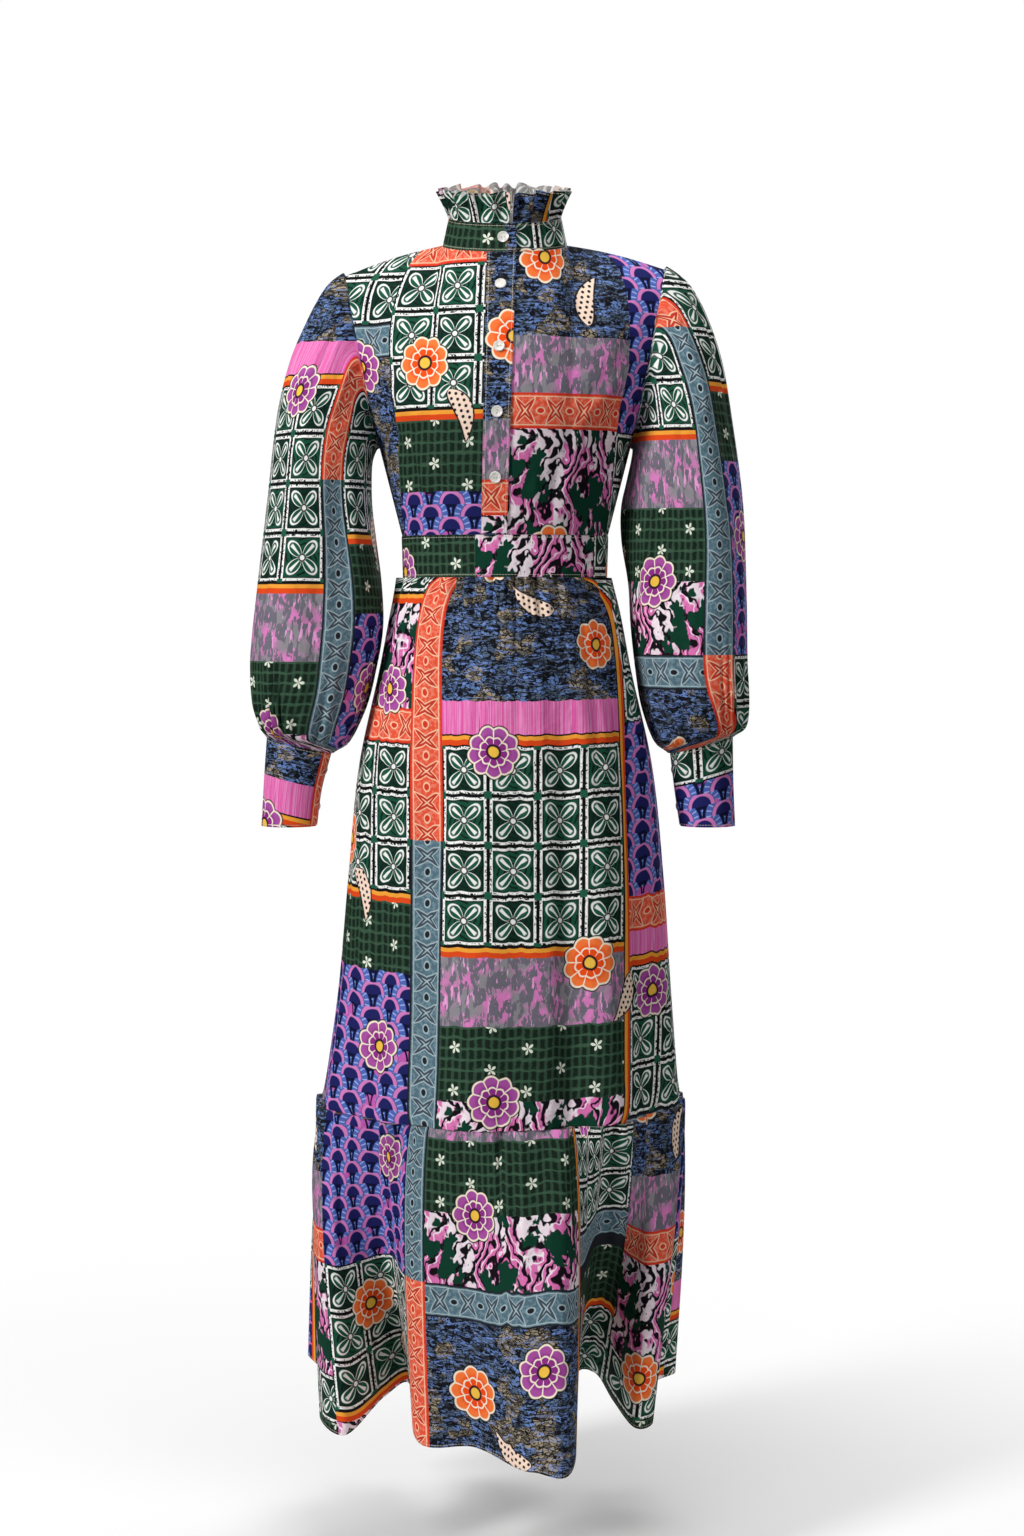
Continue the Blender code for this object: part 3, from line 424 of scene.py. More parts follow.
def bodice_half(facing, sign):
    """Half a bodice panel: u from its middle to its side, v from its top edge to the waist."""
    middle = CENTRE_CURVES[facing]
    neck_share = 1.0 - SHOULDER_SHARE

    def join_x(z):
        return sign * placket_middle(z) if facing < 0 else np.zeros_like(z)

    start_deg = math.degrees(math.acos(float(join_x(np.float64(0.0))) / NECK_HALF_WIDTH))
    waist_deg = math.degrees(math.acos(float(join_x(np.float64(WAIST_TOP))) / WAIST_HALF_WIDTH))
    shoulder = SHOULDER + np.array((0, 0, SHOULDER_LIFTS[sign]))

    def top_line(u):
        deg = start_deg + (NECK_SIDE_DEG * facing - start_deg) * np.minimum(u / neck_share, 1.0)
        neck = neck_ring(facing * deg, 0.0)
        t = np.clip((u - neck_share) / SHOULDER_SHARE, 0.0, 1.0)[..., None]
        side = neck_ring(np.float64(NECK_SIDE_DEG), 0.0)
        slope = side + (shoulder - side) * t
        slope = slope + np.concatenate([np.zeros_like(t), np.zeros_like(t), SHOULDER_ROUND * np.sin(np.pi * t)], -1)
        return np.where((u < neck_share)[..., None], neck, slope)

    def waist_line(u):
        return waist_ring(facing * waist_deg * (1 - u), WAIST_TOP + SEAM_GAP)

    def side_line(v):
        hole = armhole(-facing * 180.0 * np.minimum(v / UNDERARM_SHARE, 1.0), sign)
        t = np.clip((v - UNDERARM_SHARE) / (1 - UNDERARM_SHARE), 0.0, 1.0)[..., None]
        return hole + (waist_line(np.ones_like(v)) - UNDERARM) * t

    def rounded(u, v):
        near_z = middle["z"](v)
        near_y = middle["y"](v)
        near_x = join_x(near_z)
        far = side_line(v)
        turn = u * np.pi / 2
        y = near_y * np.cos(turn) + far[..., 1] * (1 - np.cos(turn))
        return stacked(near_x + (far[..., 0] - near_x) * np.sin(turn), y, near_z + (far[..., 2] - near_z) * u)

    def surface(u, v):
        u, v = np.broadcast_arrays(np.clip(u, 0.0, 1.0), np.clip(v, 0.0, 1.0))
        point = rounded(u, v)
        point = point + (top_line(u) - rounded(u, np.zeros_like(v))) * ((1 - v) ** YOKE_FADE)[..., None]
        point = point + (waist_line(u) - rounded(u, np.ones_like(v))) * (v ** YOKE_FADE)[..., None]
        fullness = BUST if facing < 0 else BLADES
        point[..., 1] += facing * fullness * (np.sin(np.pi * u) * np.sin(np.pi * v)) ** 2
        point[..., 0] *= sign
        return point

    return surface


def bodice_back(c, r):
    right = bodice_half(1, 1)(np.abs(c), r)
    left = bodice_half(1, -1)(np.abs(c), r)
    return np.where((c >= 0)[..., None], right, left)


def front_at(x, z):
    """Points of the bodice front at places seen from the front."""
    x, z = np.broadcast_arrays(x, z)
    halves = {sign: bodice_half(-1, sign) for sign in (-1, 1)}

    def at(u, v):
        return np.where((x >= placket_middle(z))[..., None], halves[1](u, v), halves[-1](u, v))

    def column_at(v):
        u = np.full_like(v, 0.1)
        step = 0.01
        for _ in range(6):
            slope = (at(u + step, v)[..., 0] - at(u, v)[..., 0]) / step
            u = np.clip(u + (x - at(u, v)[..., 0]) / slope, 0.0, 0.9)
        return u

    low = np.zeros(x.shape)
    high = np.ones(x.shape)
    for _ in range(16):
        v = (low + high) / 2
        above = at(column_at(v), v)[..., 2] > z
        low = np.where(above, v, low)
        high = np.where(above, high, v)
    return at(column_at(v), v)


def placket_surface(c, r):
    z = PLACKET_TOP_Z + (PLACKET_BOTTOM_Z - PLACKET_TOP_Z) * r
    width = PLACKET_WIDTH_TOP + (PLACKET_WIDTH_BOTTOM - PLACKET_WIDTH_TOP) * r
    return front_at(placket_middle(z) + width * (c - 0.5), z)


def lapped(ring, start_deg, turn, lap_deg, room, middle_of, axis):
    """A strip once round whose end lies under its beginning."""

    def surface(c, r):
        under = smooth((c - (360.0 - 1.2 * lap_deg)) / (0.9 * lap_deg))
        point = ring(start_deg + turn * c, r)
        inward = middle_of(r) - point
        inward = inward - axis * (inward @ axis)[..., None]
        return point + unit(inward) * (room * under)[..., None]

    return surface


def stand_surface():
    visible = -90.0 + math.degrees(math.asin(STAND_LAP / 2 / NECK_HALF_WIDTH))
    lap_deg = math.degrees(STAND_LAP / NECK_HALF_WIDTH)
    axis = unit(np.array((0.0, -NECK_TILT, 1.0)))

    def middle_of(r):
        return stacked(0.0, 0.0, NECK_SIDE_Z + STAND_HEIGHT * r)

    return lapped(neck_ring, visible, -1, lap_deg, STAND_LAP_ROOM, middle_of, axis), lap_deg


def ruffle_surface(c, r):
    """c counts degrees round the neck, r is 0 at the stand and 1 at the free edge."""
    uneven = 3.0 * sin_deg(3 * c + 40) + 2.0 * sin_deg(5 * c)
    deg = -84.0 + c + uneven * sin_deg(c / 2)
    point = neck_ring(deg, 1.0)
    wave = np.cos(2 * np.pi * c * RUFFLE_WAVES / 360.0 + 0.7 * sin_deg(4 * c))
    size = 0.72 + 0.28 * sin_deg(2 * c + 70) + 0.2 * sin_deg(7 * c)
    out = unit(point * np.array((1.0, 1.0, 0.0)))
    push = RUFFLE_FLARE * r ** 1.4 + RUFFLE_DEPTH * 1.1 * size * wave * r ** 0.8
    small = RUFFLE_FINE * ridges(c + 3.0 * sin_deg(6 * c), 7.3) * r ** 0.6 * (1.0 - 0.4 * r)
    point = point + out * (push + small)[..., None]
    point[..., 2] += SEAM_GAP + RUFFLE_HEIGHT * r - RUFFLE_DROP * (wave * size + 0.5 * sin_deg(11 * c)) * r
    return point


def seam_angles(c):
    share = c / (2 * TURNS)
    uneven = np.sin(2 * np.pi * 5 * share) + 0.6 * np.sin(2 * np.pi * 9 * share)
    return 360.0 * share + 0.55 * uneven


def ridges(c, period):
    """Round ridges with narrow valleys between them, from -1 to 1."""
    return 2.0 * np.abs(np.cos(np.pi * c / period)) - 1.0


def gather(c, weight_at):
    wave = 0.4 * np.cos(2 * np.pi * c / 3) + 0.6 * ridges(c, 3.0)
    return wave * (0.75 + 0.25 * np.sin(1.7 * weight_at) + 0.15 * np.sin(3.1 * weight_at + 1.0))


def small_gather(c, weight_at):
    """The narrow gathers between the large ones, which fade within a hand's width."""
    wave = ridges(c + 0.5 * np.sin(c * 0.61), 1.31) + 0.5 * ridges(c + 1.1, 2.2)
    return wave * (0.6 + 0.4 * np.sin(2.3 * weight_at + 0.4))


def tier_seam_z(deg):
    return TIER_SEAM - TIER_SEAM_FRONT_DIP * np.maximum(0.0, -sin_deg(deg))


def skirt_point(deg, z):
    read = {name: curve(-z) for name, curve in SKIRT_CURVES.items()}
    x = read["half_width"] * cos_deg(deg)
    y = np.where(sin_deg(deg) < 0, read["front"], read["back"]) * sin_deg(deg)
    share = (WAIST_BOTTOM - z) / (WAIST_BOTTOM - TIER_SEAM)
    fold = 0.0
    for row in SKIRT_FOLDS:
        size = row.middle * smooth(2 * share) + (row.foot - row.middle) * smooth(2 * share - 1)
        fold = fold + size * hump(turn_between(deg, row.deg), row.half_deg)
    out = unit(stacked(x / read["half_width"] ** 2, y / read["front"] ** 2, 0.0))
    return stacked(read["middle_x"] + x, y, z) + out * fold[..., None]


def skirt_surface(c, r):
    deg = seam_angles(c)
    top = WAIST_BOTTOM - SEAM_GAP
    z = top + (tier_seam_z(deg) - top) * r
    point = skirt_point(deg, z)
    out = unit(point * np.array((1.0, 1.0, 0.0)))
    reach = GATHER_REACH * (1.0 + 0.6 * np.sin(c * 1.9) + 0.3 * np.sin(c * 4.3))
    near = np.exp(-(top - z) / reach) * gather(c, deg / 23.0) * WAIST_GATHER
    fine = np.exp(-(top - z) / (0.6 * reach)) * small_gather(c, deg / 11.0) * WAIST_FINE
    rise = np.exp(-(z - tier_seam_z(deg)) / TIER_RISE_REACH) * small_gather(c + 0.4, deg / 9.0) * TIER_RISE
    return point + out * (near + fine + rise)[..., None]


def hem_point(deg):
    return stacked(HEM_CURVES["x"](deg), HEM_CURVES["y"](deg), HEM + HEM_CURVES["lift"](deg))


def flounce_surface(c, r):
    deg = seam_angles(c)
    top_z = tier_seam_z(deg) - SEAM_GAP
    top = skirt_point(deg, tier_seam_z(deg))
    foot = hem_point(deg)
    point = top + (foot - top) * (r ** FLOUNCE_FALL_POWER)[..., None]
    point[..., 2] = top_z + (foot[..., 2] - top_z) * r
    out = unit(top * np.array((1.0, 1.0, 0.0)))
    drop = top_z - point[..., 2]
    puff = FLOUNCE_PUFF * np.sin(np.pi * r ** FLOUNCE_PUFF_POWER)
    reach = GATHER_REACH * (1.0 + 0.6 * np.sin(c * 2.3 + 1.0) + 0.3 * np.sin(c * 3.7))
    near = np.exp(-drop / reach) * gather(c + 1, deg / 19.0) * TIER_GATHER
    fine = np.exp(-drop / (0.65 * reach)) * small_gather(c + 0.3, deg / 7.0) * TIER_FINE
    return point + out * (puff + near + fine)[..., None]


def tube_point(rings, sign, phase, at):
    read = {name: curve(at) for name, curve in rings.items()}
    outer = stacked(sign * read["outer_x"], 0.0, read["outer_z"])
    inner = stacked(sign * read["inner_x"], 0.0, read["inner_z"])
    point = (outer + inner) / 2 + (outer - inner) / 2 * cos_deg(phase)[..., None]
    point[..., 1] = read["y"] - read["half_depth"] * sin_deg(phase)
    return point


def tube_core(rings, sign, at):
    zero = np.zeros_like(at)
    return (tube_point(rings, sign, zero, at) + tube_point(rings, sign, zero + 180.0, at)) / 2


def tube_ends(rings, sign, last):
    return [tube_core(rings, sign, np.float64(at)) for at in (0, last)]


def sleeve_surface(sign):
    rings = SLEEVE_CURVES[sign]

    def surface(c, r):
        turn = 360.0 * c / TURNS
        phase = turn - 18.0 * sin_deg(turn)
        point = tube_point(rings, sign, phase, r)
        cap = hump(turn_between(phase, 0), 80) * hump(r - 1.6, 2.4) * CAP_GATHER
        foot = smooth((r - 7.6) / 3.0) * CUFF_GATHER * (1.0 - 0.55 * smooth(r - 10.2))
        size = gather(c, c / 4.0) * (cap + foot)
        for fold in SLEEVE_FOLDS:
            size = size + fold.size * hump(turn_between(phase, fold.phase_deg), fold.half_deg) * hump(r - fold.at, 4.0)
        cap_fine = hump(turn_between(phase, 0), 105) * hump(r - 1.1, 1.9) * CAP_FINE
        foot_fine = smooth((r - 7.4 - 0.8 * np.sin(c * 1.7)) / 2.4) * (1.0 - 0.7 * smooth((r - 10.3) / 0.7))
        size = size + small_gather(c, c / 3.0) * (cap_fine + foot_fine * CUFF_FINE)
        return point + unit(point - tube_core(rings, sign, r)) * size[..., None]

    return surface


def cuff_surface(sign):
    rings = CUFF_CURVES[sign]
    last = len(CUFF_RINGS[sign]) - 1
    ends = tube_ends(rings, sign, last)
    axis = unit(ends[1] - ends[0])
    lap_deg = math.degrees(CUFF_LAP / CUFF_RADIUS)

    def ring(deg, r):
        return tube_point(rings, sign, deg, np.clip(r, 0.0, 1.0) * last)

    def middle_of(r):
        return ends[0] + (ends[1] - ends[0]) * np.asarray(r)[..., None]

    return lapped(ring, CUFF_LAP_PHASE, 1, lap_deg, CUFF_LAP_ROOM, middle_of, axis), lap_deg


# The print

def patch_lines(offset, limits, flat_axis):
    """Where the edges of patches cross a piece, in centimetres of the flat piece."""
    if flat_axis == 0:
        edges = np.cumsum([0.0] + [strip.width for strip in STRIPS])[:-1]
        repeat = REPEAT_WIDTH
    else:
        edges = sorted({
            round(float(edge), 4)
            for strip in STRIPS
            for edge in np.cumsum([0.0] + [height for height, _ in strip.patches])[:-1]
        })
        repeat = REPEAT_HEIGHT
    found = []
    for edge in edges:
        first = math.ceil((limits[0] + offset - edge) / repeat)
        last = math.floor((limits[1] + offset - edge) / repeat)
        found += [edge + repeat * n - offset for n in range(first, last + 1)]
    return sorted(found)


def patch_at(x, y):
    """The kind of patch at places of the repeat, its near corner, and whether it is taller than wide."""
    x = x % REPEAT_WIDTH
    y = y % REPEAT_HEIGHT
    kind = np.zeros(x.shape, int)
    corner = np.zeros(x.shape + (2,))
    tall = np.zeros(x.shape, bool)
    left = 0.0
    for strip in STRIPS:
        top = 0.0
        for height, name in strip.patches:
            here = (x >= left) & (x < left + strip.width) & (y >= top) & (y < top + height)
            kind[here] = KINDS.index(name)
            corner[here] = (left, top)
            tall[here] = height > strip.width
            top += height
        left += strip.width
    return kind, corner, tall


def print_cloth(mesh, offset, flip):
    """Gives each face its patch, and each corner its place in the patch and on the nearest bloom."""
    loops = len(mesh.loops)
    corner_vertex = np.zeros(loops, np.int32)
    mesh.loops.foreach_get("vertex_index", corner_vertex)
    flat = np.zeros(len(mesh.vertices) * 3)
    mesh.vertices.foreach_get("co", flat)
    flat = flat.reshape(-1, 3)[:, :2] * 100.0
    if flip:
        flat[:, 0] *= -1.0
    cloth = flat + np.array(offset)
    counts = np.zeros(len(mesh.polygons), np.int32)
    mesh.polygons.foreach_get("loop_total", counts)
    owner = np.repeat(np.arange(len(counts)), counts)
    at_corner = cloth[corner_vertex]
    middle = np.stack([np.bincount(owner, at_corner[:, i]) / counts for i in (0, 1)], 1)
    kind, corner, tall = patch_at(middle[:, 0], middle[:, 1])
    mesh.polygons.foreach_set("material_index", kind.astype(np.int32))
    repeats = np.floor(middle / np.array((REPEAT_WIDTH, REPEAT_HEIGHT))) * np.array((REPEAT_WIDTH, REPEAT_HEIGHT))
    local = at_corner - (corner + repeats)[owner]
    turned = tall[owner] & np.isin(kind, [KINDS.index(n) for n in ("slate_border", "rust_border", "bars")])[owner]
    local[turned] = local[turned][:, ::-1]
    home = middle - repeats
    nearest = np.full(len(middle), 1e9)
    bloom_uv = np.full((loops, 2), BLOOM_NONE)
    for bloom in BLOOMS:
        for shift in ((0, 0), (REPEAT_WIDTH, 0), (-REPEAT_WIDTH, 0), (0, REPEAT_HEIGHT), (0, -REPEAT_HEIGHT)):
            centre = np.array((bloom.x, bloom.y)) + shift
            away = np.linalg.norm(home - centre, axis=1) / bloom.radius
            better = away < np.minimum(nearest, BLOOM_REACH)
            if not better.any():
                continue
            nearest = np.where(better, away, nearest)
            mine = better[owner]
            place = (at_corner[mine] - repeats[owner][mine] - centre) / bloom.radius
            turn = math.radians(bloom.turn)
            swung = place @ np.array(((math.cos(turn), -math.sin(turn)), (math.sin(turn), math.cos(turn))))
            bloom_uv[mine] = swung + np.array((BLOOM_STEP * bloom.kind, 0.0))
    for name, values in (("cloth", at_corner), ("motif", local), ("bloom", bloom_uv)):
        layer = mesh.uv_layers.get(name) or mesh.uv_layers.new(name=name)
        layer.data.foreach_set("uv", (values / 100.0 if name == "cloth" else values).astype(np.float32).ravel())


def crease_rise(flat, creases):
    """How far the creases stand up at flat places, in metres."""
    rise = np.zeros(flat.shape[:-1])
    for crease in creases:
        start = np.array((crease.x0, crease.y0)) / 100.0
        run = np.array((crease.x1, crease.y1)) / 100.0 - start
        along = np.clip(((flat - start) @ run) / (run @ run), 0.0, 1.0)
        away = np.linalg.norm(flat - (start + along[..., None] * run), axis=-1)
        taper = np.sin(np.pi * (0.12 + 0.76 * along))
        rise += crease.rise / 1000.0 * taper * hump(away, crease.half / 100.0 * (0.6 + 0.4 * taper))
    return rise


# How a piece is cut: its worn surface with the columns and rows of its grid, where its flat middle lies,
# how its grain runs, its place on the print and whether the print is turned over, its creases and stitched
# edges, how far it lies off its solid and how thick it is
Cut = namedtuple(
    "Cut", "name surface core across down anchor grain offset flip creases stitched lift thick",
    defaults=((), (), 0.0, None),
)
# The row of a fanned piece whose lengths all its rows take on the flat, as a share of the way down
FAN_ROW = 0.6


def lattice(cut):
    """The worn and flat places of a piece's grid."""
    c = np.linspace(cut.across[0], cut.across[1], cut.across[2] + 1)[None, :]
    r = np.linspace(cut.down[0], cut.down[1], cut.down[2] + 1)[:, None]
    c, r = np.broadcast_arrays(c, r)
    worn = cut.surface(c, r)
    steps_across = np.linalg.norm(np.diff(worn, axis=1), axis=-1)
    x = np.concatenate([np.zeros((len(r), 1)), np.cumsum(steps_across, axis=1)], axis=1)
    middle = int(cut.anchor * (x.shape[1] - 1))
    x = x - x[:, middle:middle + 1]
    if cut.grain == "fan":
        x = np.repeat(x[int(len(x) * FAN_ROW)][None, :], len(x), axis=0)
    if cut.grain == "level":
        y = worn[..., 2].max() - worn[..., 2]
    else:
        steps_down = np.linalg.norm(np.diff(worn, axis=0), axis=-1)
        y = np.concatenate([np.zeros((1, c.shape[1])), np.cumsum(steps_down, axis=0)], axis=0)
    flat = np.stack([x, y], axis=-1)
    normal = np.cross(np.gradient(worn, axis=1), np.gradient(worn, axis=0))
    normal = unit(normal * np.sign(np.sum(normal * (worn - cut.core(worn)))))
    rise = cut.lift + crease_rise(flat, cut.creases)
    return worn + normal * rise[..., None], flat


def sew_lines(flat, stitched):
    """For each place on the grid, how far along a sewn edge it is and how far from it, in centimetres."""
    x = flat[..., 0] * 100.0
    y = flat[..., 1] * 100.0
    away = np.full(x.shape, 50.0)
    along = np.zeros(x.shape)
    edges = {
        "top": (x, y - y[:1, :]),
        "bottom": (x, y[-1:, :] - y),
        "left": (y, x - x[:, :1]),
        "right": (y, x[:, -1:] - x),
    }
    for name in stitched:
        run, off = edges[name]
        nearer = off < away
        away = np.where(nearer, off, away)
        along = np.where(nearer, run, along)
    return along, away


def mesh_of(bm, name):
    mesh = bpy.data.meshes.new(name)
    bm.to_mesh(mesh)
    bm.free()
    return mesh


def placed(name, data):
    """A new object in the scene."""
    made = bpy.data.objects.new(name, data)
    bpy.context.collection.objects.link(made)
    return made


def make_cloth(cut):
    """Cuts, prints and wears one piece of cloth, and gives it its thickness inwards."""
    worn, flat = lattice(cut)
    along, away = sew_lines(flat, cut.stitched)
    rows, columns = flat.shape[:2]
    bm = bmesh.new()
    bmesh.ops.create_grid(bm, x_segments=columns - 1, y_segments=rows - 1, size=0.5)
    place = bm.verts.layers.float_vector.new("worn")
    sewn = bm.verts.layers.float_vector.new("sewn")
    for vert in bm.verts:
        i = round((vert.co.x + 0.5) * (columns - 1))
        j = round((vert.co.y + 0.5) * (rows - 1))
        vert[place] = worn[j, i]
        vert[sewn] = (along[j, i], away[j, i], 0.0)
        vert.co = (flat[j, i, 0], flat[j, i, 1], 0.0)
    area = sum(face.calc_area() for face in bm.faces)
    turned = -1.0 if cut.flip else 1.0
    box = flat.reshape(-1, 2)
    for axis in (0, 1):
        span = np.sort(np.array((box[:, axis].min(), box[:, axis].max())) * 100.0 * (turned if axis == 0 else 1.0))
        for line in patch_lines(cut.offset[axis], span, axis):
            place_on = [0.0, 0.0, 0.0]
            place_on[axis] = line / 100.0 * (turned if axis == 0 else 1.0)
            facing = [0.0, 0.0, 0.0]
            facing[axis] = 1.0
            bmesh.ops.bisect_plane(
                bm, geom=bm.verts[:] + bm.edges[:] + bm.faces[:], dist=1e-5, plane_co=place_on, plane_no=facing,
            )
    mesh = mesh_of(bm, cut.name)
    for kind in KINDS:
        mesh.materials.append(bpy.data.materials.get("print_" + kind) or cloth_look(kind))
    print_cloth(mesh, cut.offset, cut.flip)
    values = np.zeros(len(mesh.vertices) * 3)
    mesh.attributes["sewn"].data.foreach_get("vector", values)
    corner_vertex = np.zeros(len(mesh.loops), np.int32)
    mesh.loops.foreach_get("vertex_index", corner_vertex)
    layer = mesh.uv_layers.new(name="stitch")
    layer.data.foreach_set("uv", values.reshape(-1, 3)[corner_vertex][:, :2].astype(np.float32).ravel())
    mesh.attributes["worn"].data.foreach_get("vector", values)
    mesh.vertices.foreach_set("co", values)
    mesh.attributes.remove(mesh.attributes["worn"])
    mesh.attributes.remove(mesh.attributes["sewn"])
    thicken(mesh, cut)
    return placed(cut.name, mesh), flat, area


def thicken(mesh, cut):
    bm = bmesh.new()
    bm.from_mesh(mesh)
    bmesh.ops.remove_doubles(bm, verts=bm.verts, dist=2e-5)
    bmesh.ops.dissolve_degenerate(bm, edges=bm.edges, dist=1e-6)
    bmesh.ops.recalc_face_normals(bm, faces=bm.faces)
    centres = np.array([face.calc_center_median() for face in bm.faces])
    normals = np.array([face.normal for face in bm.faces])
    if np.sum(normals * (centres - cut.core(centres))) < 0:
        bmesh.ops.reverse_faces(bm, faces=bm.faces)
    reverse = bm.faces.layers.float.new("reverse")
    outer = set(bm.faces)
    outer_side = [vert.co.copy() for vert in bm.verts]
    thick = cut.thick or bpy.context.scene.dress_cloth.thickness
    bmesh.ops.solidify(bm, geom=bm.faces[:], thickness=thick)
    for face in bm.faces:
        if face not in outer:
            face[reverse] = 1.0
        face.smooth = True
    settle_strays(bm, outer_side, thick)
    bm.to_mesh(mesh)
    bm.free()
    mesh.set_sharp_from_angle(angle=math.radians(60))


def settle_strays(bm, outer_side, thick):
    """Brings points of the inner side that a sharp fold threw far off back near the outer side."""
    tree = KDTree(len(outer_side))
    for i, place in enumerate(outer_side):
        tree.insert(place, i)
    tree.balance()
    for vert in bm.verts:
        near, _, away = tree.find(vert.co)
        if away > 2.0 * thick:
            vert.co = near + (vert.co - near) * (1.2 * thick / away)


# Shader arithmetic

def linear(code):
    parts = [int(code[i:i + 2], 16) / 255.0 for i in (1, 3, 5)]
    return tuple(p / 12.92 if p <= 0.04045 else ((p + 0.055) / 1.055) ** 2.4 for p in parts) + (1.0,)


def arithmetic(operation, swapped=False):
    def combine(self, *others):
        values = (self, *others)
        return self.net.math(operation, *(reversed(values) if swapped else values))

    return combine


class Value:
    """A number in a shader that takes part in Python arithmetic."""

    def __init__(self, net, socket):
        self.net = net
        self.socket = socket

    __add__, __radd__ = arithmetic("ADD"), arithmetic("ADD", True)
    __sub__, __rsub__ = arithmetic("SUBTRACT"), arithmetic("SUBTRACT", True)
    __mul__, __rmul__ = arithmetic("MULTIPLY"), arithmetic("MULTIPLY", True)
    __truediv__ = arithmetic("DIVIDE")
    __abs__ = arithmetic("ABSOLUTE")


class Net:
    """The nodes of one material."""

    def __init__(self, name):
        self.look = bpy.data.materials.new(name)
        self.look.use_nodes = True
        self.tree = self.look.node_tree
        self.shader = self.tree.nodes["Principled BSDF"]

    def node(self, kind, settings=None, inputs=None):
        made = self.tree.nodes.new(kind)
        for key, value in (settings or {}).items():
            setattr(made, key, value)
        for key, value in (inputs or {}).items():
            self.feed(made.inputs[key], value)
        return made

    def feed(self, socket, value):
        if isinstance(value, Value):
            self.tree.links.new(value.socket, socket)
        elif isinstance(value, bpy.types.NodeSocket):
            self.tree.links.new(value, socket)
        elif isinstance(value, str):
            socket.default_value = linear(value)
        else:
            socket.default_value = value

    def math(self, operation, *values):
        made = self.node("ShaderNodeMath", {"operation": operation}, dict(enumerate(values)))
        return Value(self, made.outputs[0])

    def fract(self, value):
        return self.math("FRACT", value)

    def floor(self, value):
        return self.math("FLOOR", value)

    def least(self, *values):
        made = values[0]
        for value in values[1:]:
            made = self.math("MINIMUM", made, value)
        return made

    def most(self, *values):
        made = values[0]
        for value in values[1:]:
            made = self.math("MAXIMUM", made, value)
        return made

    def sin(self, value):
        return self.math("SINE", value)

    def length(self, x, y):
        return self.math("SQRT", x * x + y * y)

    def rise(self, value, edge, blur=0.03):
        """0 below an edge and 1 above it."""
        made = self.node(
            "ShaderNodeMapRange", {"interpolation_type": "SMOOTHSTEP"},
            {"Value": value - edge, "From Min": -blur, "From Max": blur},
        )
        return Value(self, made.outputs[0])

    def below(self, value, edge, blur=0.03):
        return 1.0 - self.rise(value, edge, blur)

    def within(self, value, low, high, blur=0.03):
        return self.rise(value, low, blur) * self.below(value, high, blur)

    def over(self, under, cover, share):
        """One colour over another."""
        return self.node("ShaderNodeMix", {"data_type": "RGBA"}, {0: share, 6: under, 7: cover}).outputs[2]

    def uv(self, name):
        at = self.node("ShaderNodeUVMap", {"uv_map": name})
        parts = self.node("ShaderNodeSeparateXYZ", None, {0: at.outputs[0]})
        return Value(self, parts.outputs[0]), Value(self, parts.outputs[1])

    def vector(self, x, y, z=0.0):
        return self.node("ShaderNodeCombineXYZ", None, {0: x, 1: y, 2: z}).outputs[0]

    def noise(self, vector, scale, detail=2.0, rough=0.5, distortion=0.0):
        made = self.node("ShaderNodeTexNoise", None, {
            "Vector": vector, "Scale": scale, "Detail": detail, "Roughness": rough, "Distortion": distortion,
        })
        return Value(self, made.outputs["Fac"])

    def voronoi(self, vector, scale, feature, output):
        made = self.node("ShaderNodeTexVoronoi", {"feature": feature}, {"Vector": vector, "Scale": scale})
        return made.outputs[output]

    def over_value(self, under, cover, share):
        return under + (cover - under) * share

    def share_of(self, colour):
        return Value(self, self.node("ShaderNodeSeparateColor", None, {0: colour}).outputs[0])


# Motifs. u and v are centimetres along and down a patch

def paint_tiles(net, u, v):
    """A leaf trellis: four leaves in each square between pale bars."""
    size = 5.4
    x = net.fract(u / size) - 0.5
    y = net.fract(v / size) - 0.5
    wobble = net.noise(net.vector(u, v), 0.9, 3.0) - 0.5
    rough = wobble * 0.10
    reach = net.length(x, y)
    turn = net.math("ARCTAN2", y, x)
    lobe = abs(net.sin(turn * 2.0))
    checker = net.rise(net.fract((net.floor(u / size) + net.floor(v / size)) * 0.5), 0.25)
    colour = net.over("#0e2f24", "#184d39", checker)
    arc = net.fract(reach * 9.0 + turn * 0.8 + wobble)
    colour = net.over(colour, "#0b1f1a", net.within(arc, 0.05, 0.38, 0.08) * net.below(lobe, 0.5))
    leaf = net.rise(lobe * 0.455 - reach + rough * 0.3, 0.0, 0.012)
    heart = net.rise(lobe * 0.47 - reach, 0.065, 0.012) * net.rise(reach, 0.085, 0.01)
    colour = net.over(colour, "#eef0ec", leaf)
    colour = net.over(colour, "#1d5440", heart)
    vein = net.rise(lobe, 0.975, 0.012) * net.below(reach, 0.36, 0.02)
    colour = net.over(colour, "#eef0ec", vein)
    colour = net.over(colour, "#0d1512", net.below(reach, 0.085, 0.012))
    colour = net.over(colour, "#eef0ec", net.below(reach, 0.052, 0.012))
    edge = net.most(abs(x), abs(y)) + rough * 0.25
    colour = net.over(colour, "#0a0c0d", net.rise(edge, 0.388, 0.008))
    colour = net.over(colour, "#f7f8f5", net.rise(edge, 0.412, 0.01))
    brush = net.rise(net.noise(net.vector(u, v), 3.2, 2.0, 0.6, 0.8), 0.55, 0.03)
    colour = net.over(colour, "#101614", net.rise(edge, 0.43, 0.01) * brush)
    colour = net.over(colour, "#0a0c0d", net.rise(edge, 0.466, 0.008))
    knot = net.rise(net.least(abs(x), abs(y)), 0.425, 0.008)
    return net.over(colour, "#1f5a44", knot)


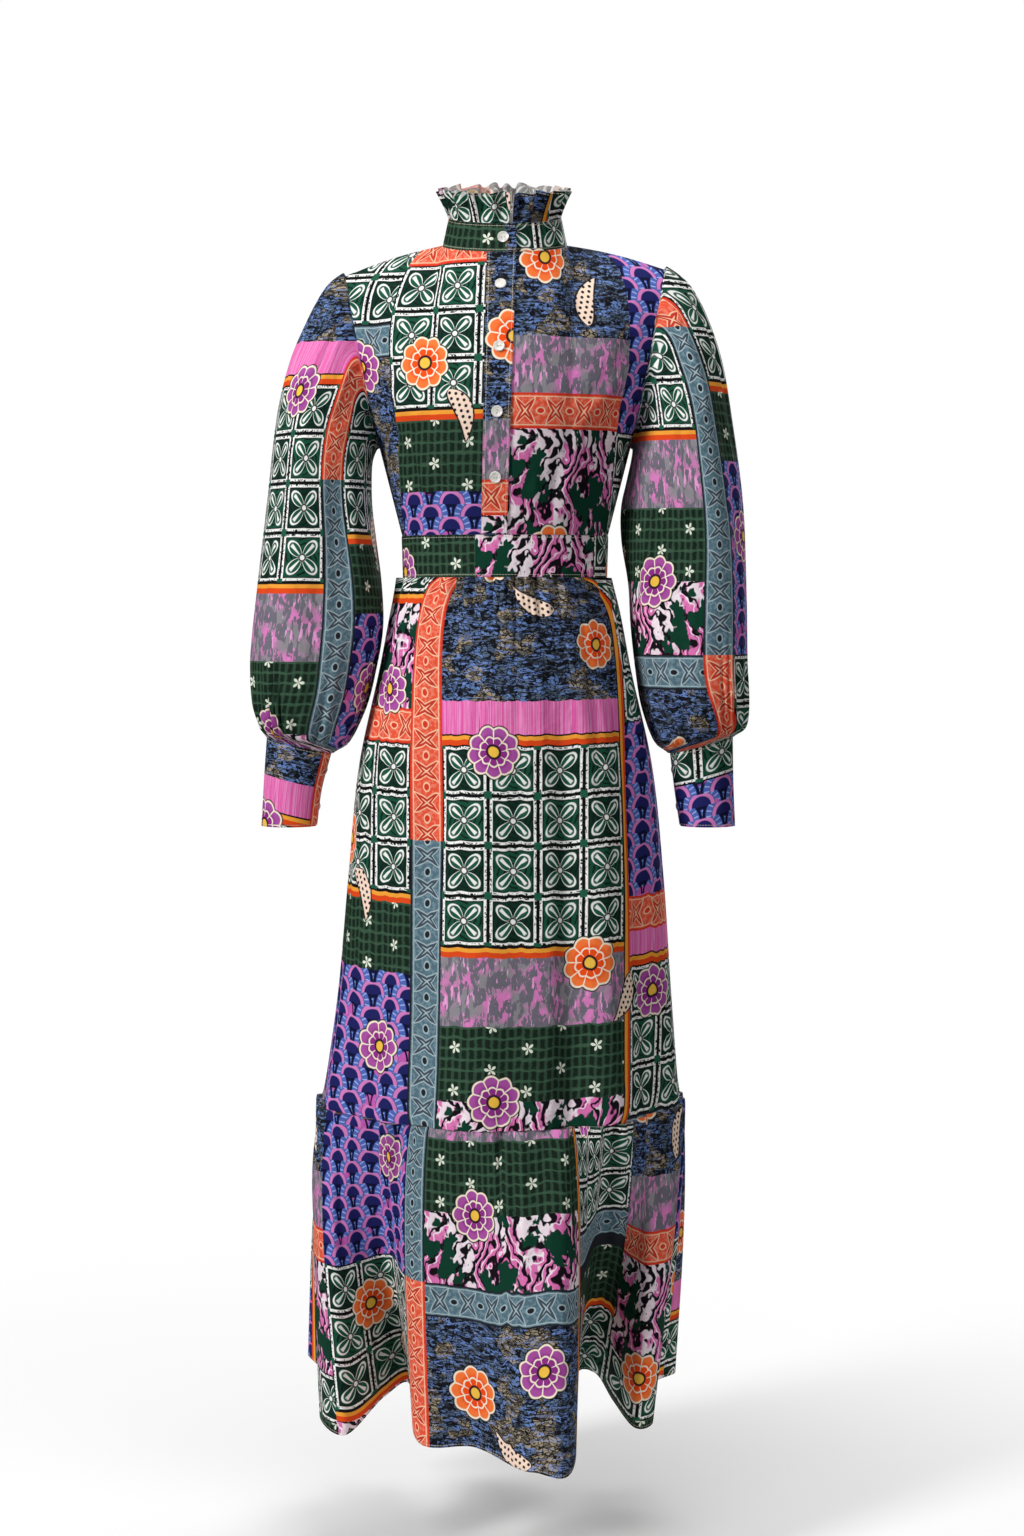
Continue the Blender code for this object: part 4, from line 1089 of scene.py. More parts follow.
def lozenges(net, u, v, shades):
    """A border 3.8 wide: lens shapes on the diagonals with lines along both edges."""
    ground, lens, inner, line, rim = shades
    x = net.fract(u / 3.4) - 0.5
    y = (v - 1.9) / 2.8
    first = abs(x + y * 0.62)
    second = abs(x - y * 0.62)
    fine = net.noise(net.vector(u, v), 2.4, 3.0)
    colour = net.over(ground, lens, net.rise(fine, 0.52, 0.05) * 0.6)
    shape = net.least(first, second) + abs(y) * abs(y) * 0.5
    colour = net.over(colour, rim, net.below(shape, 0.155, 0.012))
    colour = net.over(colour, inner, net.below(shape, 0.115, 0.012))
    colour = net.over(colour, rim, net.below(shape, 0.028, 0.01))
    dot = net.length(net.fract(u / 3.4 + 0.5) - 0.5, y * 1.1)
    colour = net.over(colour, rim, net.below(dot, 0.16, 0.012))
    colour = net.over(colour, line, net.below(dot, 0.11, 0.012))
    off = abs(v - 1.9)
    colour = net.over(colour, rim, net.within(off, 1.45, 1.56, 0.03))
    return net.over(colour, line, net.rise(off, 1.68, 0.03))


def paint_slate_border(net, u, v):
    return lozenges(net, u, v, ("#54707d", "#7d97a2", "#43505c", "#23262d", "#a9bcc2"))


def paint_rust_border(net, u, v):
    return lozenges(net, u, v, ("#e8553a", "#f08f78", "#c8382a", "#d93a26", "#f6c9a6"))


def paint_pebbles(net, u, v):
    """Small broken stones in slate and periwinkle with patches of tan."""
    bend = net.noise(net.vector(u, v), 0.45, 2.0)
    place = net.vector(u + bend * 1.6, v * 1.7 + bend * 2.2)
    cells = net.voronoi(place, 1.9, "F1", "Color")
    shade = net.share_of(cells)
    edge = Value(net, net.voronoi(place, 1.9, "DISTANCE_TO_EDGE", "Distance"))
    colour = net.over("#536275", "#6482ba", net.rise(shade, 0.38, 0.02))
    colour = net.over(colour, "#353d4a", net.rise(shade, 0.60, 0.02))
    colour = net.over(colour, "#121319", net.rise(shade, 0.76, 0.02))
    tan = net.rise(net.noise(net.vector(u, v, 4.0), 0.33, 1.0), 0.56, 0.02)
    colour = net.over(colour, net.over("#6d6558", "#a3957c", net.rise(shade, 0.5, 0.02)), tan)
    colour = net.over(colour, "#121318", net.below(edge, 0.075, 0.03))
    drift = net.noise(net.vector(u * 0.5, v * 2.6), 0.8, 3.0, 0.6, 1.2)
    colour = net.over(colour, "#16181f", net.within(drift, 0.55, 0.60, 0.012))
    return net.over(colour, "#7d9be0", net.within(drift, 0.38, 0.42, 0.012) * 0.8)


def paint_waves(net, u, v):
    """Fur-like lines that swirl, black on pink and white, with green blots."""
    place = net.vector(u, v)
    swirl = net.noise(place, 0.13, 1.0, 0.4)
    wander = net.noise(place, 0.42, 2.0)
    colour = net.over("#efdfe8", "#dd72b2", net.rise(net.noise(net.vector(u, v * 0.5, 9.0), 0.5, 2.0), 0.47, 0.03))
    line = net.fract(u * 0.55 + v * 0.12 + swirl * 9.0 + wander * 3.2)
    breaks = net.noise(net.vector(u * 1.4, v * 0.45, 3.0), 1.0, 2.0)
    colour = net.over(colour, "#f6eef3", net.within(line, 0.58, 0.68, 0.04))
    thick = 0.20 + 0.36 * net.rise(breaks, 0.46, 0.12)
    colour = net.over(colour, "#120e14", net.rise(line, 0.04, 0.05) * net.below(line - thick, 0.0, 0.05))
    blot = net.noise(net.vector(u, v * 0.7, 21.0), 0.36, 3.5, 0.62, 0.3)
    return net.over(colour, "#0b3b2b", net.rise(blot, 0.535, 0.01))


def paint_scallops(net, u, v):
    """Rows of overlapping arcs, in navy, periwinkle and pink."""
    radius = 2.7
    row = v / (radius / 2.0)
    part = 1.0 - net.fract(row)
    half = net.fract(net.floor(row) * 0.5)
    near = (net.fract(u / (2.0 * radius) + half) - 0.5) * 2.0
    far = (net.fract(u / (2.0 * radius) + half + 0.5) - 0.5) * 2.0
    first = net.length(near, part * 0.5)
    second = net.length(far, part * 0.5 + 0.5)
    ring = net.over_value(first, second, net.rise(first, 1.0, 0.004))
    colour = net.over("#1f2260", "#4f69b8", net.within(ring, 0.60, 0.86, 0.02))
    colour = net.over(colour, "#d27fc0", net.within(ring, 0.42, 0.58, 0.02))
    colour = net.over(colour, "#0f1130", net.rise(ring, 0.90, 0.015))
    rays = net.fract(net.math("ARCTAN2", near, part * 0.5) * 3.4)
    colour = net.over(colour, "#9fb2ea", net.within(rays, 0.1, 0.35, 0.06) * net.within(ring, 0.62, 0.84, 0.02))
    spot = net.noise(net.vector(u, v), 0.30, 1.0)
    return net.over(colour, "#c65fb4", net.rise(spot, 0.63, 0.015) * net.within(ring, 0.60, 0.92, 0.02))


def paint_hatch(net, u, v):
    """Dark green crossed strokes with small pale sprigs."""
    fine = net.noise(net.vector(u * 0.6, v * 2.4), 1.2, 2.0)
    colour = net.over("#16251c", "#2f4a38", net.within(net.fract(u / 0.85 + fine * 0.4), 0.1, 0.5, 0.08))
    colour = net.over(colour, "#3f5e49", net.within(net.fract(v / 1.15 + fine * 0.5), 0.2, 0.42, 0.08) * 0.8)
    x = net.fract(u / 4.0) - 0.5
    y = net.fract(v / 4.6 + net.fract(net.floor(u / 4.0) * 0.5)) - 0.5
    reach = net.length(x, y * 1.15)
    petal = abs(net.sin(net.math("ARCTAN2", y, x) * 2.5))
    return net.over(colour, "#e4ead9", net.rise(petal * 0.17 - reach, 0.0, 0.01) * net.rise(petal, 0.55, 0.05))


def paint_mottle(net, u, v):
    """Grey and mauve blotches on pink, drawn out down the cloth."""
    base = net.over("#8d8a90", "#d97fbe", net.rise(net.noise(net.vector(u, v), 0.32, 2.0), 0.50, 0.08))
    runs = net.noise(net.vector(u * 1.6, v * 0.7), 0.9, 3.5, 0.62, 0.6)
    colour = net.over(base, "#6f6c78", net.rise(runs, 0.50, 0.015))
    light = net.noise(net.vector(u * 2.2, v * 0.5, 3.0), 1.1, 2.0)
    return net.over(colour, "#e9a2d6", net.rise(light, 0.64, 0.02))


def paint_strie(net, u, v):
    """Pink with fine uneven stripes across it."""
    fine = net.noise(net.vector(u * 4.2, v * 0.05), 1.0, 3.0, 0.7)
    colour = net.over("#e35aa8", "#ee93c8", net.rise(fine, 0.50, 0.06))
    return net.over(colour, "#a8367f", net.rise(fine, 0.62, 0.03))


def paint_bars(net, u, v):
    """A plain band with a dark line at one side."""
    colour = net.over("#f2a23a", "#e04a1c", net.rise(v, 0.62, 0.02))
    return net.over(colour, "#151316", net.below(v, 0.18, 0.02))


PAINTS = {
    "tiles": paint_tiles,
    "slate_border": paint_slate_border,
    "rust_border": paint_rust_border,
    "pebbles": paint_pebbles,
    "waves": paint_waves,
    "scallops": paint_scallops,
    "hatch": paint_hatch,
    "mottle": paint_mottle,
    "strie": paint_strie,
    "bars": paint_bars,
}


def strew_blooms(net, colour):
    """Round nine-petalled blooms and small dotted leaves over the patches."""
    place, y = net.uv("bloom")
    kind = net.floor(place / BLOOM_STEP + 0.5)
    x = place - kind * BLOOM_STEP
    reach = net.length(x, y)
    turn = net.math("ARCTAN2", y, x)
    near = net.below(reach, 1.6, 0.01)
    cos_petal = abs(net.sin(turn * 4.5))
    edge = 0.84 + cos_petal * 0.13
    flower = net.below(reach - edge, 0.0, 0.02)
    petal = net.over("#f04e14", "#8e2f86", net.rise(kind, 0.5, 0.1))
    tip = net.over("#f9793a", "#a850a0", net.rise(kind, 0.5, 0.1))
    inside = net.over(petal, tip, net.rise(reach, 0.62, 0.12))
    inside = net.over(inside, "#f6e9d2", net.below(cos_petal, 0.16, 0.05) * net.rise(reach, 0.30, 0.02))
    inside = net.over(inside, "#f6e9d2", net.within(reach - edge * 0.55, -0.03, 0.03, 0.015))
    inside = net.over(inside, "#231a26", net.below(reach, 0.27, 0.02))
    inside = net.over(inside, "#f3c24a", net.below(reach, 0.19, 0.02))
    inside = net.over(inside, "#f6e9d2", net.rise(reach - edge, -0.075, 0.02))
    is_leaf = net.rise(kind, 1.5, 0.1)
    colour = net.over(colour, "#1a1519", near * net.below(reach - edge, 0.045, 0.015) * (1.0 - is_leaf))
    colour = net.over(colour, inside, near * flower * (1.0 - is_leaf))
    bent = x - 0.30 * y * y
    half = net.math("SQRT", net.most(1.0 - y * y, 0.0)) * (0.36 + 0.16 * y)
    leaf = half - abs(bent)
    dots = net.length(net.fract(x * 4.6) - 0.5, net.fract(y * 4.6 + net.floor(x * 4.6) * 0.5) - 0.5)
    spotted = net.over("#f7dcc8", "#2b2024", net.below(dots, 0.27, 0.05))
    shown = near * is_leaf
    colour = net.over(colour, "#1a1519", shown * net.rise(leaf, 0.0, 0.02) * net.below(abs(y), 1.0, 0.01))
    return net.over(colour, spotted, shown * net.rise(leaf, 0.06, 0.02))


def cloth_look(kind):
    """The printed cloth of one kind of patch: print, paler reverse, stitches, painted shade along the sewn edges,
    weave and small rumples.
    """
    net = Net("print_" + kind)
    u, v = net.uv("motif")
    colour = strew_blooms(net, PAINTS[kind](net, u, v))
    x, y = net.uv("cloth")
    flat = net.vector(x, y)
    slub = net.noise(net.vector(x * 900.0, y * 260.0), 1.0, 2.0)
    colour = net.over(colour, "#000000", (0.62 - slub) * 0.22)
    along, away = net.uv("stitch")
    row = net.within(away, 0.22, 0.29, 0.02) * net.below(abs(net.fract(along / 0.32) - 0.5), 0.36, 0.03)
    colour = net.over(colour, "#d9cdbd", row * 0.6)
    # Painted shade: a darker band along the sewn edges, standing in for the shade where a seam or turned edge rolls
    # under
    colour = net.over(colour, "#0c0b0d", net.below(away, 0.06, 0.05) * 0.35)
    reverse = net.node("ShaderNodeAttribute", {"attribute_name": "reverse"}).outputs["Fac"]
    colour = net.over(colour, "#b9b3b2", Value(net, reverse) * 0.55)
    net.feed(net.shader.inputs["Base Color"], colour)
    rumple = net.noise(flat, 24.0, 3.0, 0.5, 0.5) * 0.0050 + net.noise(flat, 80.0, 2.0) * 0.0008
    height = rumple + slub * 0.00005 - row * 0.0003
    bump = net.node("ShaderNodeBump", None, {"Strength": 0.8, "Distance": 1.0, "Height": height})
    net.feed(net.shader.inputs["Normal"], bump.outputs[0])
    net.shader.inputs["Roughness"].default_value = 0.82
    net.shader.inputs["Specular IOR Level"].default_value = 0.08
    return net.look


# The pieces of cloth

def body_core(points):
    return points * np.array((0.0, 0.0, 1.0))


def line_core(start, end):
    """The nearest places on a straight middle line."""

    def core(points):
        run = end - start
        share = np.clip(((points - start) @ run) / (run @ run), 0.0, 1.0)
        return start + share[..., None] * run

    return core


HALF_NUDGE = SEAM_GAP / 2 / GATHER_STEP
COARSE = 1


def spans(count):
    return max(count // COARSE, 4)


def mirrored(creases, widths=1.0):
    """The same creases on the other side, moved and scaled a little so that the two sides differ."""
    return tuple(
        Crease(-c.x0 * 0.96 - 0.3, c.y0 * 1.02 + 0.2, -c.x1 * 1.03, c.y1 * 0.97, c.half * widths, c.rise * 0.9)
        for c in creases
    )


FRONT_CREASES = table(
    Crease,
    (15.5, 14.0, 9.5, 20.5, 1.5, 3.1),
    (16.0, 17.5, 11.0, 24.5, 1.3, -2.5),
    (14.5, 4.0, 15.8, 12.5, 1.4, -2.4),
    (12.6, 6.0, 13.2, 15.0, 1.5, 2.0),
    (11.0, 22.0, 9.0, 29.8, 1.1, -3.1),
    (9.0, 21.5, 7.6, 30.2, 1.1, 2.9),
    (6.8, 24.0, 6.2, 30.3, 0.9, -2.2),
    (4.4, 25.0, 4.2, 30.4, 0.9, 1.9),
    (5.5, 4.0, 8.5, 9.0, 1.6, 1.5),
)
BACK_CREASES = table(
    Crease,
    (13.5, 12.0, 8.0, 18.5, 1.6, 2.9),
    (14.2, 16.0, 9.2, 23.0, 1.4, -2.5),
    (10.4, 21.0, 9.0, 29.5, 1.1, 2.9),
    (8.0, 22.0, 7.2, 29.8, 1.0, -2.7),
    (4.6, 23.5, 4.4, 30.0, 1.0, 2.2),
    (1.6, 24.5, 1.4, 30.2, 0.9, -1.9),
    (4.0, 5.0, 9.5, 8.5, 1.8, 1.5),
)
SKIRT_CREASES = table(
    Crease,
    (-24.0, 3.0, -27.5, 30.0, 1.6, 3.4),
    (-14.5, 1.0, -17.0, 24.0, 1.3, -3.1),
    (-8.0, 1.5, -9.2, 17.0, 1.1, 2.7),
    (-2.5, 1.0, -2.8, 20.0, 1.2, -2.5),
    (4.0, 1.2, 4.6, 15.0, 1.1, 2.5),
    (9.5, 1.0, 11.5, 27.0, 1.4, -3.2),
    (16.0, 2.0, 19.5, 22.0, 1.3, 2.9),
    (-6.0, 26.0, -7.5, 52.0, 1.8, 2.5),
    (13.0, 30.0, 14.5, 55.0, 1.7, -2.7),
    (-19.0, 34.0, -21.0, 57.0, 1.8, -2.9),
)
FLOUNCE_CREASES = table(
    Crease,
    (-36.0, 1.0, -36.5, 13.0, 1.2, 3.1),
    (-27.0, 0.8, -27.2, 19.0, 1.3, -2.9),
    (-17.0, 1.0, -17.5, 11.0, 1.1, 2.9),
    (-8.0, 0.8, -8.6, 22.0, 1.4, -2.7),
    (1.0, 1.0, 1.4, 14.0, 1.1, 2.7),
    (9.0, 0.8, 9.8, 18.0, 1.2, 2.5),
    (18.5, 1.0, 19.0, 12.0, 1.2, -2.9),
    (27.0, 0.8, 27.6, 20.0, 1.3, 2.9),
    (35.0, 1.0, 35.4, 15.0, 1.2, -2.5),
)
SLEEVE_CREASES = table(
    Crease,
    (-15.0, 3.0, -13.0, 16.0, 1.3, 3.1),
    (-9.5, 1.0, -8.6, 20.0, 1.3, -3.1),
    (-4.0, 1.0, -3.6, 15.0, 1.1, 3.1),
    (2.5, 1.0, 2.8, 22.0, 1.2, -3.1),
    (8.5, 1.2, 8.0, 16.0, 1.2, 3.1),
    (14.0, 2.5, 12.5, 19.0, 1.3, -2.9),
    (-13.0, 30.0, -12.0, 50.0, 1.5, -3.4),
    (-6.5, 27.0, -6.2, 50.5, 1.4, 3.4),
    (0.5, 31.0, 0.3, 51.0, 1.3, -3.2),
    (7.0, 28.0, 6.8, 50.5, 1.4, 3.2),
    (13.5, 30.0, 12.4, 50.0, 1.5, -3.2),
    (-19.5, 22.0, -17.0, 42.0, 1.7, 3.2),
    (19.5, 24.0, 17.5, 44.0, 1.7, 3.2),
    (-21.5, 9.0, -14.5, 12.5, 1.1, 2.5),
    (21.0, 10.0, 14.0, 14.0, 1.1, -2.5),
)


# A flat cut has to fill at least this share of the box round it
LEAST_SHARE = 0.3


def wear(cut, node, slot, held, *rests_on):
    piece, flat, area = make_cloth(cut)
    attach(piece, "root")
    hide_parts(node)
    size = [float(np.ptp(flat[..., i])) for i in (0, 1)]
    if area / (size[0] * size[1]) < LEAST_SHARE:
        raise RuntimeError(f"{cut.name}: the flat cut is too narrow for its box")


def make_bodice():
    for sign, side in ((-1, "left"), (1, "right")):
        creases = FRONT_CREASES if sign > 0 else tuple(
            Crease(c.x0 * 0.97, c.y0 * 1.03, c.x1 * 1.02, c.y1 * 0.98, c.half * 1.1, c.rise * 0.9)
            for c in FRONT_CREASES
        )
        offset = (13.0, 30.2) if sign < 0 else (57.5, 58.0)
        wear(
            Cut(f"cloth_front_{side}", bodice_half(-1, sign), body_core, (0.0, 1.0, spans(70)),
                (0.0, 1.0, spans(90)), 0.0, "level", offset, sign < 0, creases),
            f"bodice_front_{side}", "bodice_cloth", "stretched",
        )
    wear(
        Cut("cloth_back", bodice_back, body_core, (-1.0, 1.0, spans(140)), (0.0, 1.0, spans(90)), 0.5, "level",
            (28.0, 44.0), True, BACK_CREASES + mirrored(BACK_CREASES)),
        "bodice_back", "bodice_cloth", "stretched",
    )


def make_placket():
    wear(
        Cut("cloth_placket", placket_surface, body_core, (0.0, 1.0, spans(16)), (0.0, 1.0, spans(110)), 0.5,
            "level", (60.9, 50.5), False, stitched=("left", "right"), lift=0.0021, thick=0.0012),
        "placket", "collar_cloth", "laid", "cloth_front_left", "cloth_front_right",
    )


def make_collar():
    surface, lap_deg = stand_surface()
    wear(
        Cut("cloth_stand", surface, body_core, (0.0, 360.0 + lap_deg, spans(210)), (1.0, 0.0, spans(14)), 0.5,
            "fan", (20.0, 50.8), False, stitched=("top", "bottom"), thick=0.0014),
        "collar_stand", "collar_cloth", "stretched",
    )
    reach = 0.35 * 360.0 / 80.0
    wear(
        Cut("cloth_ruffle", ruffle_surface, body_core, (reach, 360.0 - reach, spans(420)), (1.0, 0.0, spans(14)),
            0.5, "fan", (60.0, 12.0), False, stitched=("top",)),
        "collar_ruffle", "collar_cloth", "gathered", "cloth_stand",
    )


def make_sleeves():
    for sign, side in ((-1, "left"), (1, "right")):
        last = len(SLEEVE_RINGS[sign]) - 1
        core = line_core(*tube_ends(SLEEVE_CURVES[sign], sign, last))
        creases = SLEEVE_CREASES if sign > 0 else mirrored(SLEEVE_CREASES, 1.08)
        offset = (33.0, 20.0) if sign < 0 else (9.5, 36.0)
        wear(
            Cut(f"cloth_sleeve_{side}", sleeve_surface(sign), core, (-24.0, 24.0, spans(216)),
                (0.0, float(last), spans(110)), 0.5, "level", offset, sign < 0, creases),
            f"sleeve_{side}", "sleeve_cloth", "gathered",
        )


def make_cuffs():
    for sign, side in ((-1, "left"), (1, "right")):
        surface, lap_deg = cuff_surface(sign)
        core = line_core(*tube_ends(CUFF_CURVES[sign], sign, len(CUFF_RINGS[sign]) - 1))
        offset = (26.0, 24.0) if sign < 0 else (44.0, 27.0)
        wear(
            Cut(f"cloth_cuff_{side}", surface, core, (0.0, 360.0 + 0.9 * lap_deg, spans(150)),
                (0.0, 1.0, spans(26)), 0.5, "fan", offset, sign < 0, stitched=("top", "bottom", "left"),
                thick=0.0013),
            f"cuff_{side}", "sleeve_cloth", "stretched", f"cloth_sleeve_{side}",
        )


def make_waistband():
    def surface(c, r):
        return waist_ring(c, WAIST_TOP + (WAIST_BOTTOM - WAIST_TOP) * r)

    nudge = math.degrees(SEAM_GAP / 2 / WAIST_BACK)
    for name, start, offset in (("back", 0.0, (50.0, 8.0)), ("front", 180.0, (62.0, 1.5))):
        wear(
            Cut(f"cloth_waistband_{name}", surface, body_core, (start + nudge, start + 180.0 - nudge, spans(120)),
                (0.0, 1.0, spans(16)), 0.5, "fan", offset, name == "back", stitched=("top", "bottom"),
                lift=BAND_PROUD, thick=0.0014),
            f"waistband_{name}", "band_cloth", "stretched",
        )


def halves():
    """The back and the front half of the skirt, with the counts where each starts and stops."""
    return (("back", HALF_NUDGE, TURNS - HALF_NUDGE), ("front", TURNS + HALF_NUDGE, 2 * TURNS - HALF_NUDGE))


def make_skirt():
    for name, start, stop in halves():
        creases = SKIRT_CREASES if name == "front" else mirrored(SKIRT_CREASES)
        offset = (27.0, 14.5) if name == "front" else (52.0, 33.0)
        wear(
            Cut(f"cloth_skirt_{name}", skirt_surface, body_core, (start, stop, spans(260)), (0.0, 1.0, spans(100)),
                0.5, "down", offset, name == "back", creases),
            f"skirt_{name}", "skirt_cloth", "gathered", f"cloth_waistband_{name}",
        )


def make_flounce():
    for name, start, stop in halves():
        creases = FLOUNCE_CREASES if name == "front" else mirrored(FLOUNCE_CREASES)
        offset = (30.0, 62.0) if name == "front" else (4.0, 5.0)
        wear(
            Cut(f"cloth_flounce_{name}", flounce_surface, body_core, (start, stop, spans(280)),
                (0.0, 1.0, spans(78)), 0.5, "fan", offset, name == "back", creases, ("bottom",)),
            f"flounce_{name}", "flounce_cloth", "gathered", f"cloth_skirt_{name}",
        )


# Buttons

# Hole places and sizes and thread bars, as shares of the radius
HOLE_PLACE = 0.22
HOLE_SIZE = 0.115
THREAD_LANES = (-0.045, 0.0, 0.045)
THREAD_SIZE = (0.50, 0.04, 0.10)
# How far each button is turned on its thread, in degrees
BUTTON_NODES = {
    "button_stand": 12,
    "button_front_1": -35,
    "button_front_2": 20,
    "button_front_3": 70,
    "button_front_4": 5,
    "button_cuff_left_1": 30,
    "button_cuff_left_2": -15,
    "button_cuff_right_1": 55,
    "button_cuff_right_2": 10,
}


def button_place(node):
    """The foot, axis, radius and thickness of a button, read from its solid."""
    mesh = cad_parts[node].data
    points = np.array([vert.co[:] for vert in mesh.vertices])
    middle = (points.min(0) + points.max(0)) / 2
    axis = np.linalg.svd(points - points.mean(0))[2][2]
    away = points.mean(0) * np.array((1.0, 1.0, 0.0))
    if "cuff" in node:
        sign = -1 if "left" in node else 1
        rings = CUFF_CURVES[sign]
        away = points.mean(0) - tube_core(rings, sign, np.float64(1.0))
    if axis @ away < 0:
        axis = -axis
    heights = (points - middle) @ axis
    radius = np.linalg.norm((points - middle) - np.outer(heights, axis), axis=1).max()
    return Vector(middle + axis * heights.min()), Vector(axis), float(radius), float(np.ptp(heights))


def pearl_look():
    net = Net("pearl")
    place = net.node("ShaderNodeTexCoord").outputs["Object"]
    cloud = net.noise(place, 260.0, 3.0, 0.55, 0.8)
    colour = net.over("#d9d6cc", "#f4f1ea", net.rise(cloud, 0.48, 0.15))
    colour = net.over(colour, "#c9c4d2", net.rise(net.noise(place, 420.0, 2.0), 0.60, 0.05) * 0.5)
    net.feed(net.shader.inputs["Base Color"], colour)
    net.shader.inputs["Roughness"].default_value = 0.22
    net.shader.inputs["Coat Weight"].default_value = 0.5
    net.shader.inputs["Coat Roughness"].default_value = 0.08
    return net.look


def plain_look(name, code, roughness):
    net = Net(name)
    net.feed(net.shader.inputs["Base Color"], code)
    net.shader.inputs["Roughness"].default_value = roughness
    return net.look


def turned_disc(radius, thick):
    """A dished disc with a rounded rim, its foot on the origin."""
    profile = [(0.0, 0.0), (0.80 * radius, 0.0)]
    rim = 0.5 * thick
    for step in range(9):
        angle = math.radians(-80 + 20 * step)
        profile.append((radius - 0.7 * rim * (1.0 - math.cos(angle)), rim + 0.98 * rim * math.sin(angle)))
    profile += [(0.74 * radius, 0.80 * thick), (0.66 * radius, 0.70 * thick), (0.0, 0.68 * thick)]
    bm = bmesh.new()
    points = [bm.verts.new((x, 0.0, z)) for x, z in profile]
    edges = [bm.edges.new(pair) for pair in zip(points, points[1:])]
    bmesh.ops.spin(
        bm, geom=points + edges, cent=(0, 0, 0), axis=(0, 0, 1), angle=math.tau, steps=48, use_merge=True,
    )
    bmesh.ops.remove_doubles(bm, verts=bm.verts, dist=1e-6)
    bmesh.ops.recalc_face_normals(bm, faces=bm.faces)
    return bm


def drilled(bm, radius, thick, name):
    """Cuts the two thread holes through a disc."""
    mesh = mesh_of(bm, name)
    whole = placed(name, mesh)
    tool_bm = bmesh.new()
    for x in (-HOLE_PLACE * radius, HOLE_PLACE * radius):
        bmesh.ops.create_cone(
            tool_bm, cap_ends=True, segments=20, radius1=HOLE_SIZE * radius, radius2=HOLE_SIZE * radius,
            depth=4 * thick, matrix=Matrix.Translation((x, 0, thick / 2)),
        )
    tool_mesh = mesh_of(tool_bm, name + "_holes")
    tool = placed(name + "_holes", tool_mesh)
    cut = whole.modifiers.new("holes", "BOOLEAN")
    cut.object = tool
    cut.operation = "DIFFERENCE"
    cut.solver = "EXACT"
    graph = bpy.context.evaluated_depsgraph_get()
    made = bpy.data.meshes.new_from_object(whole.evaluated_get(graph))
    bpy.data.objects.remove(whole, do_unlink=True)
    bpy.data.objects.remove(tool, do_unlink=True)
    bpy.data.meshes.remove(tool_mesh)
    bpy.data.meshes.remove(mesh)
    return made


def make_buttons():
    pearl = pearl_look()
    thread = plain_look("thread", "#e8e2d6", 0.8)
    for node, spin in BUTTON_NODES.items():
        foot, axis, radius, thick = button_place(node)
        mesh = drilled(turned_disc(radius, thick), radius, thick, "pearl_" + node)
        mesh.name = "pearl_" + node
        bm = bmesh.new()
        bm.from_mesh(mesh)
        for face in bm.faces:
            face.smooth = True
        for lane in THREAD_LANES:
            bar = bmesh.ops.create_cube(bm, size=1.0)["verts"]
            bmesh.ops.scale(bm, vec=Vector(THREAD_SIZE) * radius, verts=bar)
            bmesh.ops.translate(bm, vec=(0.0, lane * radius, 0.70 * thick + 0.03 * radius), verts=bar)
            for face in {face for vert in bar for face in vert.link_faces}:
                face.material_index = 1
        turn = axis.to_track_quat("Z", "Y").to_matrix().to_4x4()
        bm.transform(Matrix.Translation(foot) @ turn @ Matrix.Rotation(math.radians(spin), 4, "Z"))
        bm.to_mesh(mesh)
        bm.free()
        mesh.materials.clear()
        mesh.materials.append(pearl)
        mesh.materials.append(thread)
        mesh.set_sharp_from_angle(angle=math.radians(45))
        piece = placed("pearl_" + node, mesh)
        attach(piece, "root")
        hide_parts(node)


# Stage

FLOOR_Z = -1.46
FLOOR_RADIUS = 9.0
# Middle and half width of the ring where the floor turns white
FLOOR_FADE = (0.8, 0.75)
CAMERA_PLACE = (0.0078, -3.0, -0.392)
CAMERA_DOWN_DEG = 3.588
CAMERA_LENS = 62.79
CAMERA_SENSOR = 36.0

# Lights whose power isn't a setting: place, target, size and power
Light = namedtuple("Light", "name place target size power")
LIGHTS = (
    Light("top", (0.0, -0.9, 2.4), (0.0, 0.0, -0.6), (1.2, 0.8), 22.0),
    Light("back", (1.6, 2.8, 0.8), (0.0, 0.0, -0.6), (1.4, 2.0), 60.0),
    Light("floor_wash", (0.5, 0.7, 2.6), (0.5, 0.9, FLOOR_Z), (1.8, 1.4), 44.0),
)


def make_floor():
    """A pale round floor that fades into the white of the studio, so that it looks the same from all sides."""
    bm = bmesh.new()
    bmesh.ops.create_circle(bm, cap_ends=True, segments=96, radius=FLOOR_RADIUS)
    bmesh.ops.translate(bm, vec=(0.0, 0.0, FLOOR_Z), verts=bm.verts)
    mesh = mesh_of(bm, "floor")
    net = Net("floor")
    net.feed(net.shader.inputs["Base Color"], "#f4f4f4")
    net.shader.inputs["Roughness"].default_value = 0.9
    at = net.node("ShaderNodeSeparateXYZ", None, {0: net.node("ShaderNodeTexCoord").outputs["Object"]})
    away = net.length(Value(net, at.outputs[0]), Value(net, at.outputs[1]))
    far = net.rise(away, FLOOR_FADE[0], FLOOR_FADE[1])
    seen = net.node("ShaderNodeLightPath").outputs["Is Camera Ray"]
    white = net.node("ShaderNodeEmission", None, {"Color": "#ffffff", "Strength": seen})
    mixed = net.node("ShaderNodeMixShader", None, {0: far, 1: net.shader.outputs[0], 2: white.outputs[0]})
    net.tree.links.new(mixed.outputs[0], net.tree.nodes["Material Output"].inputs["Surface"])
    mesh.materials.append(net.look)
    placed("floor", mesh)


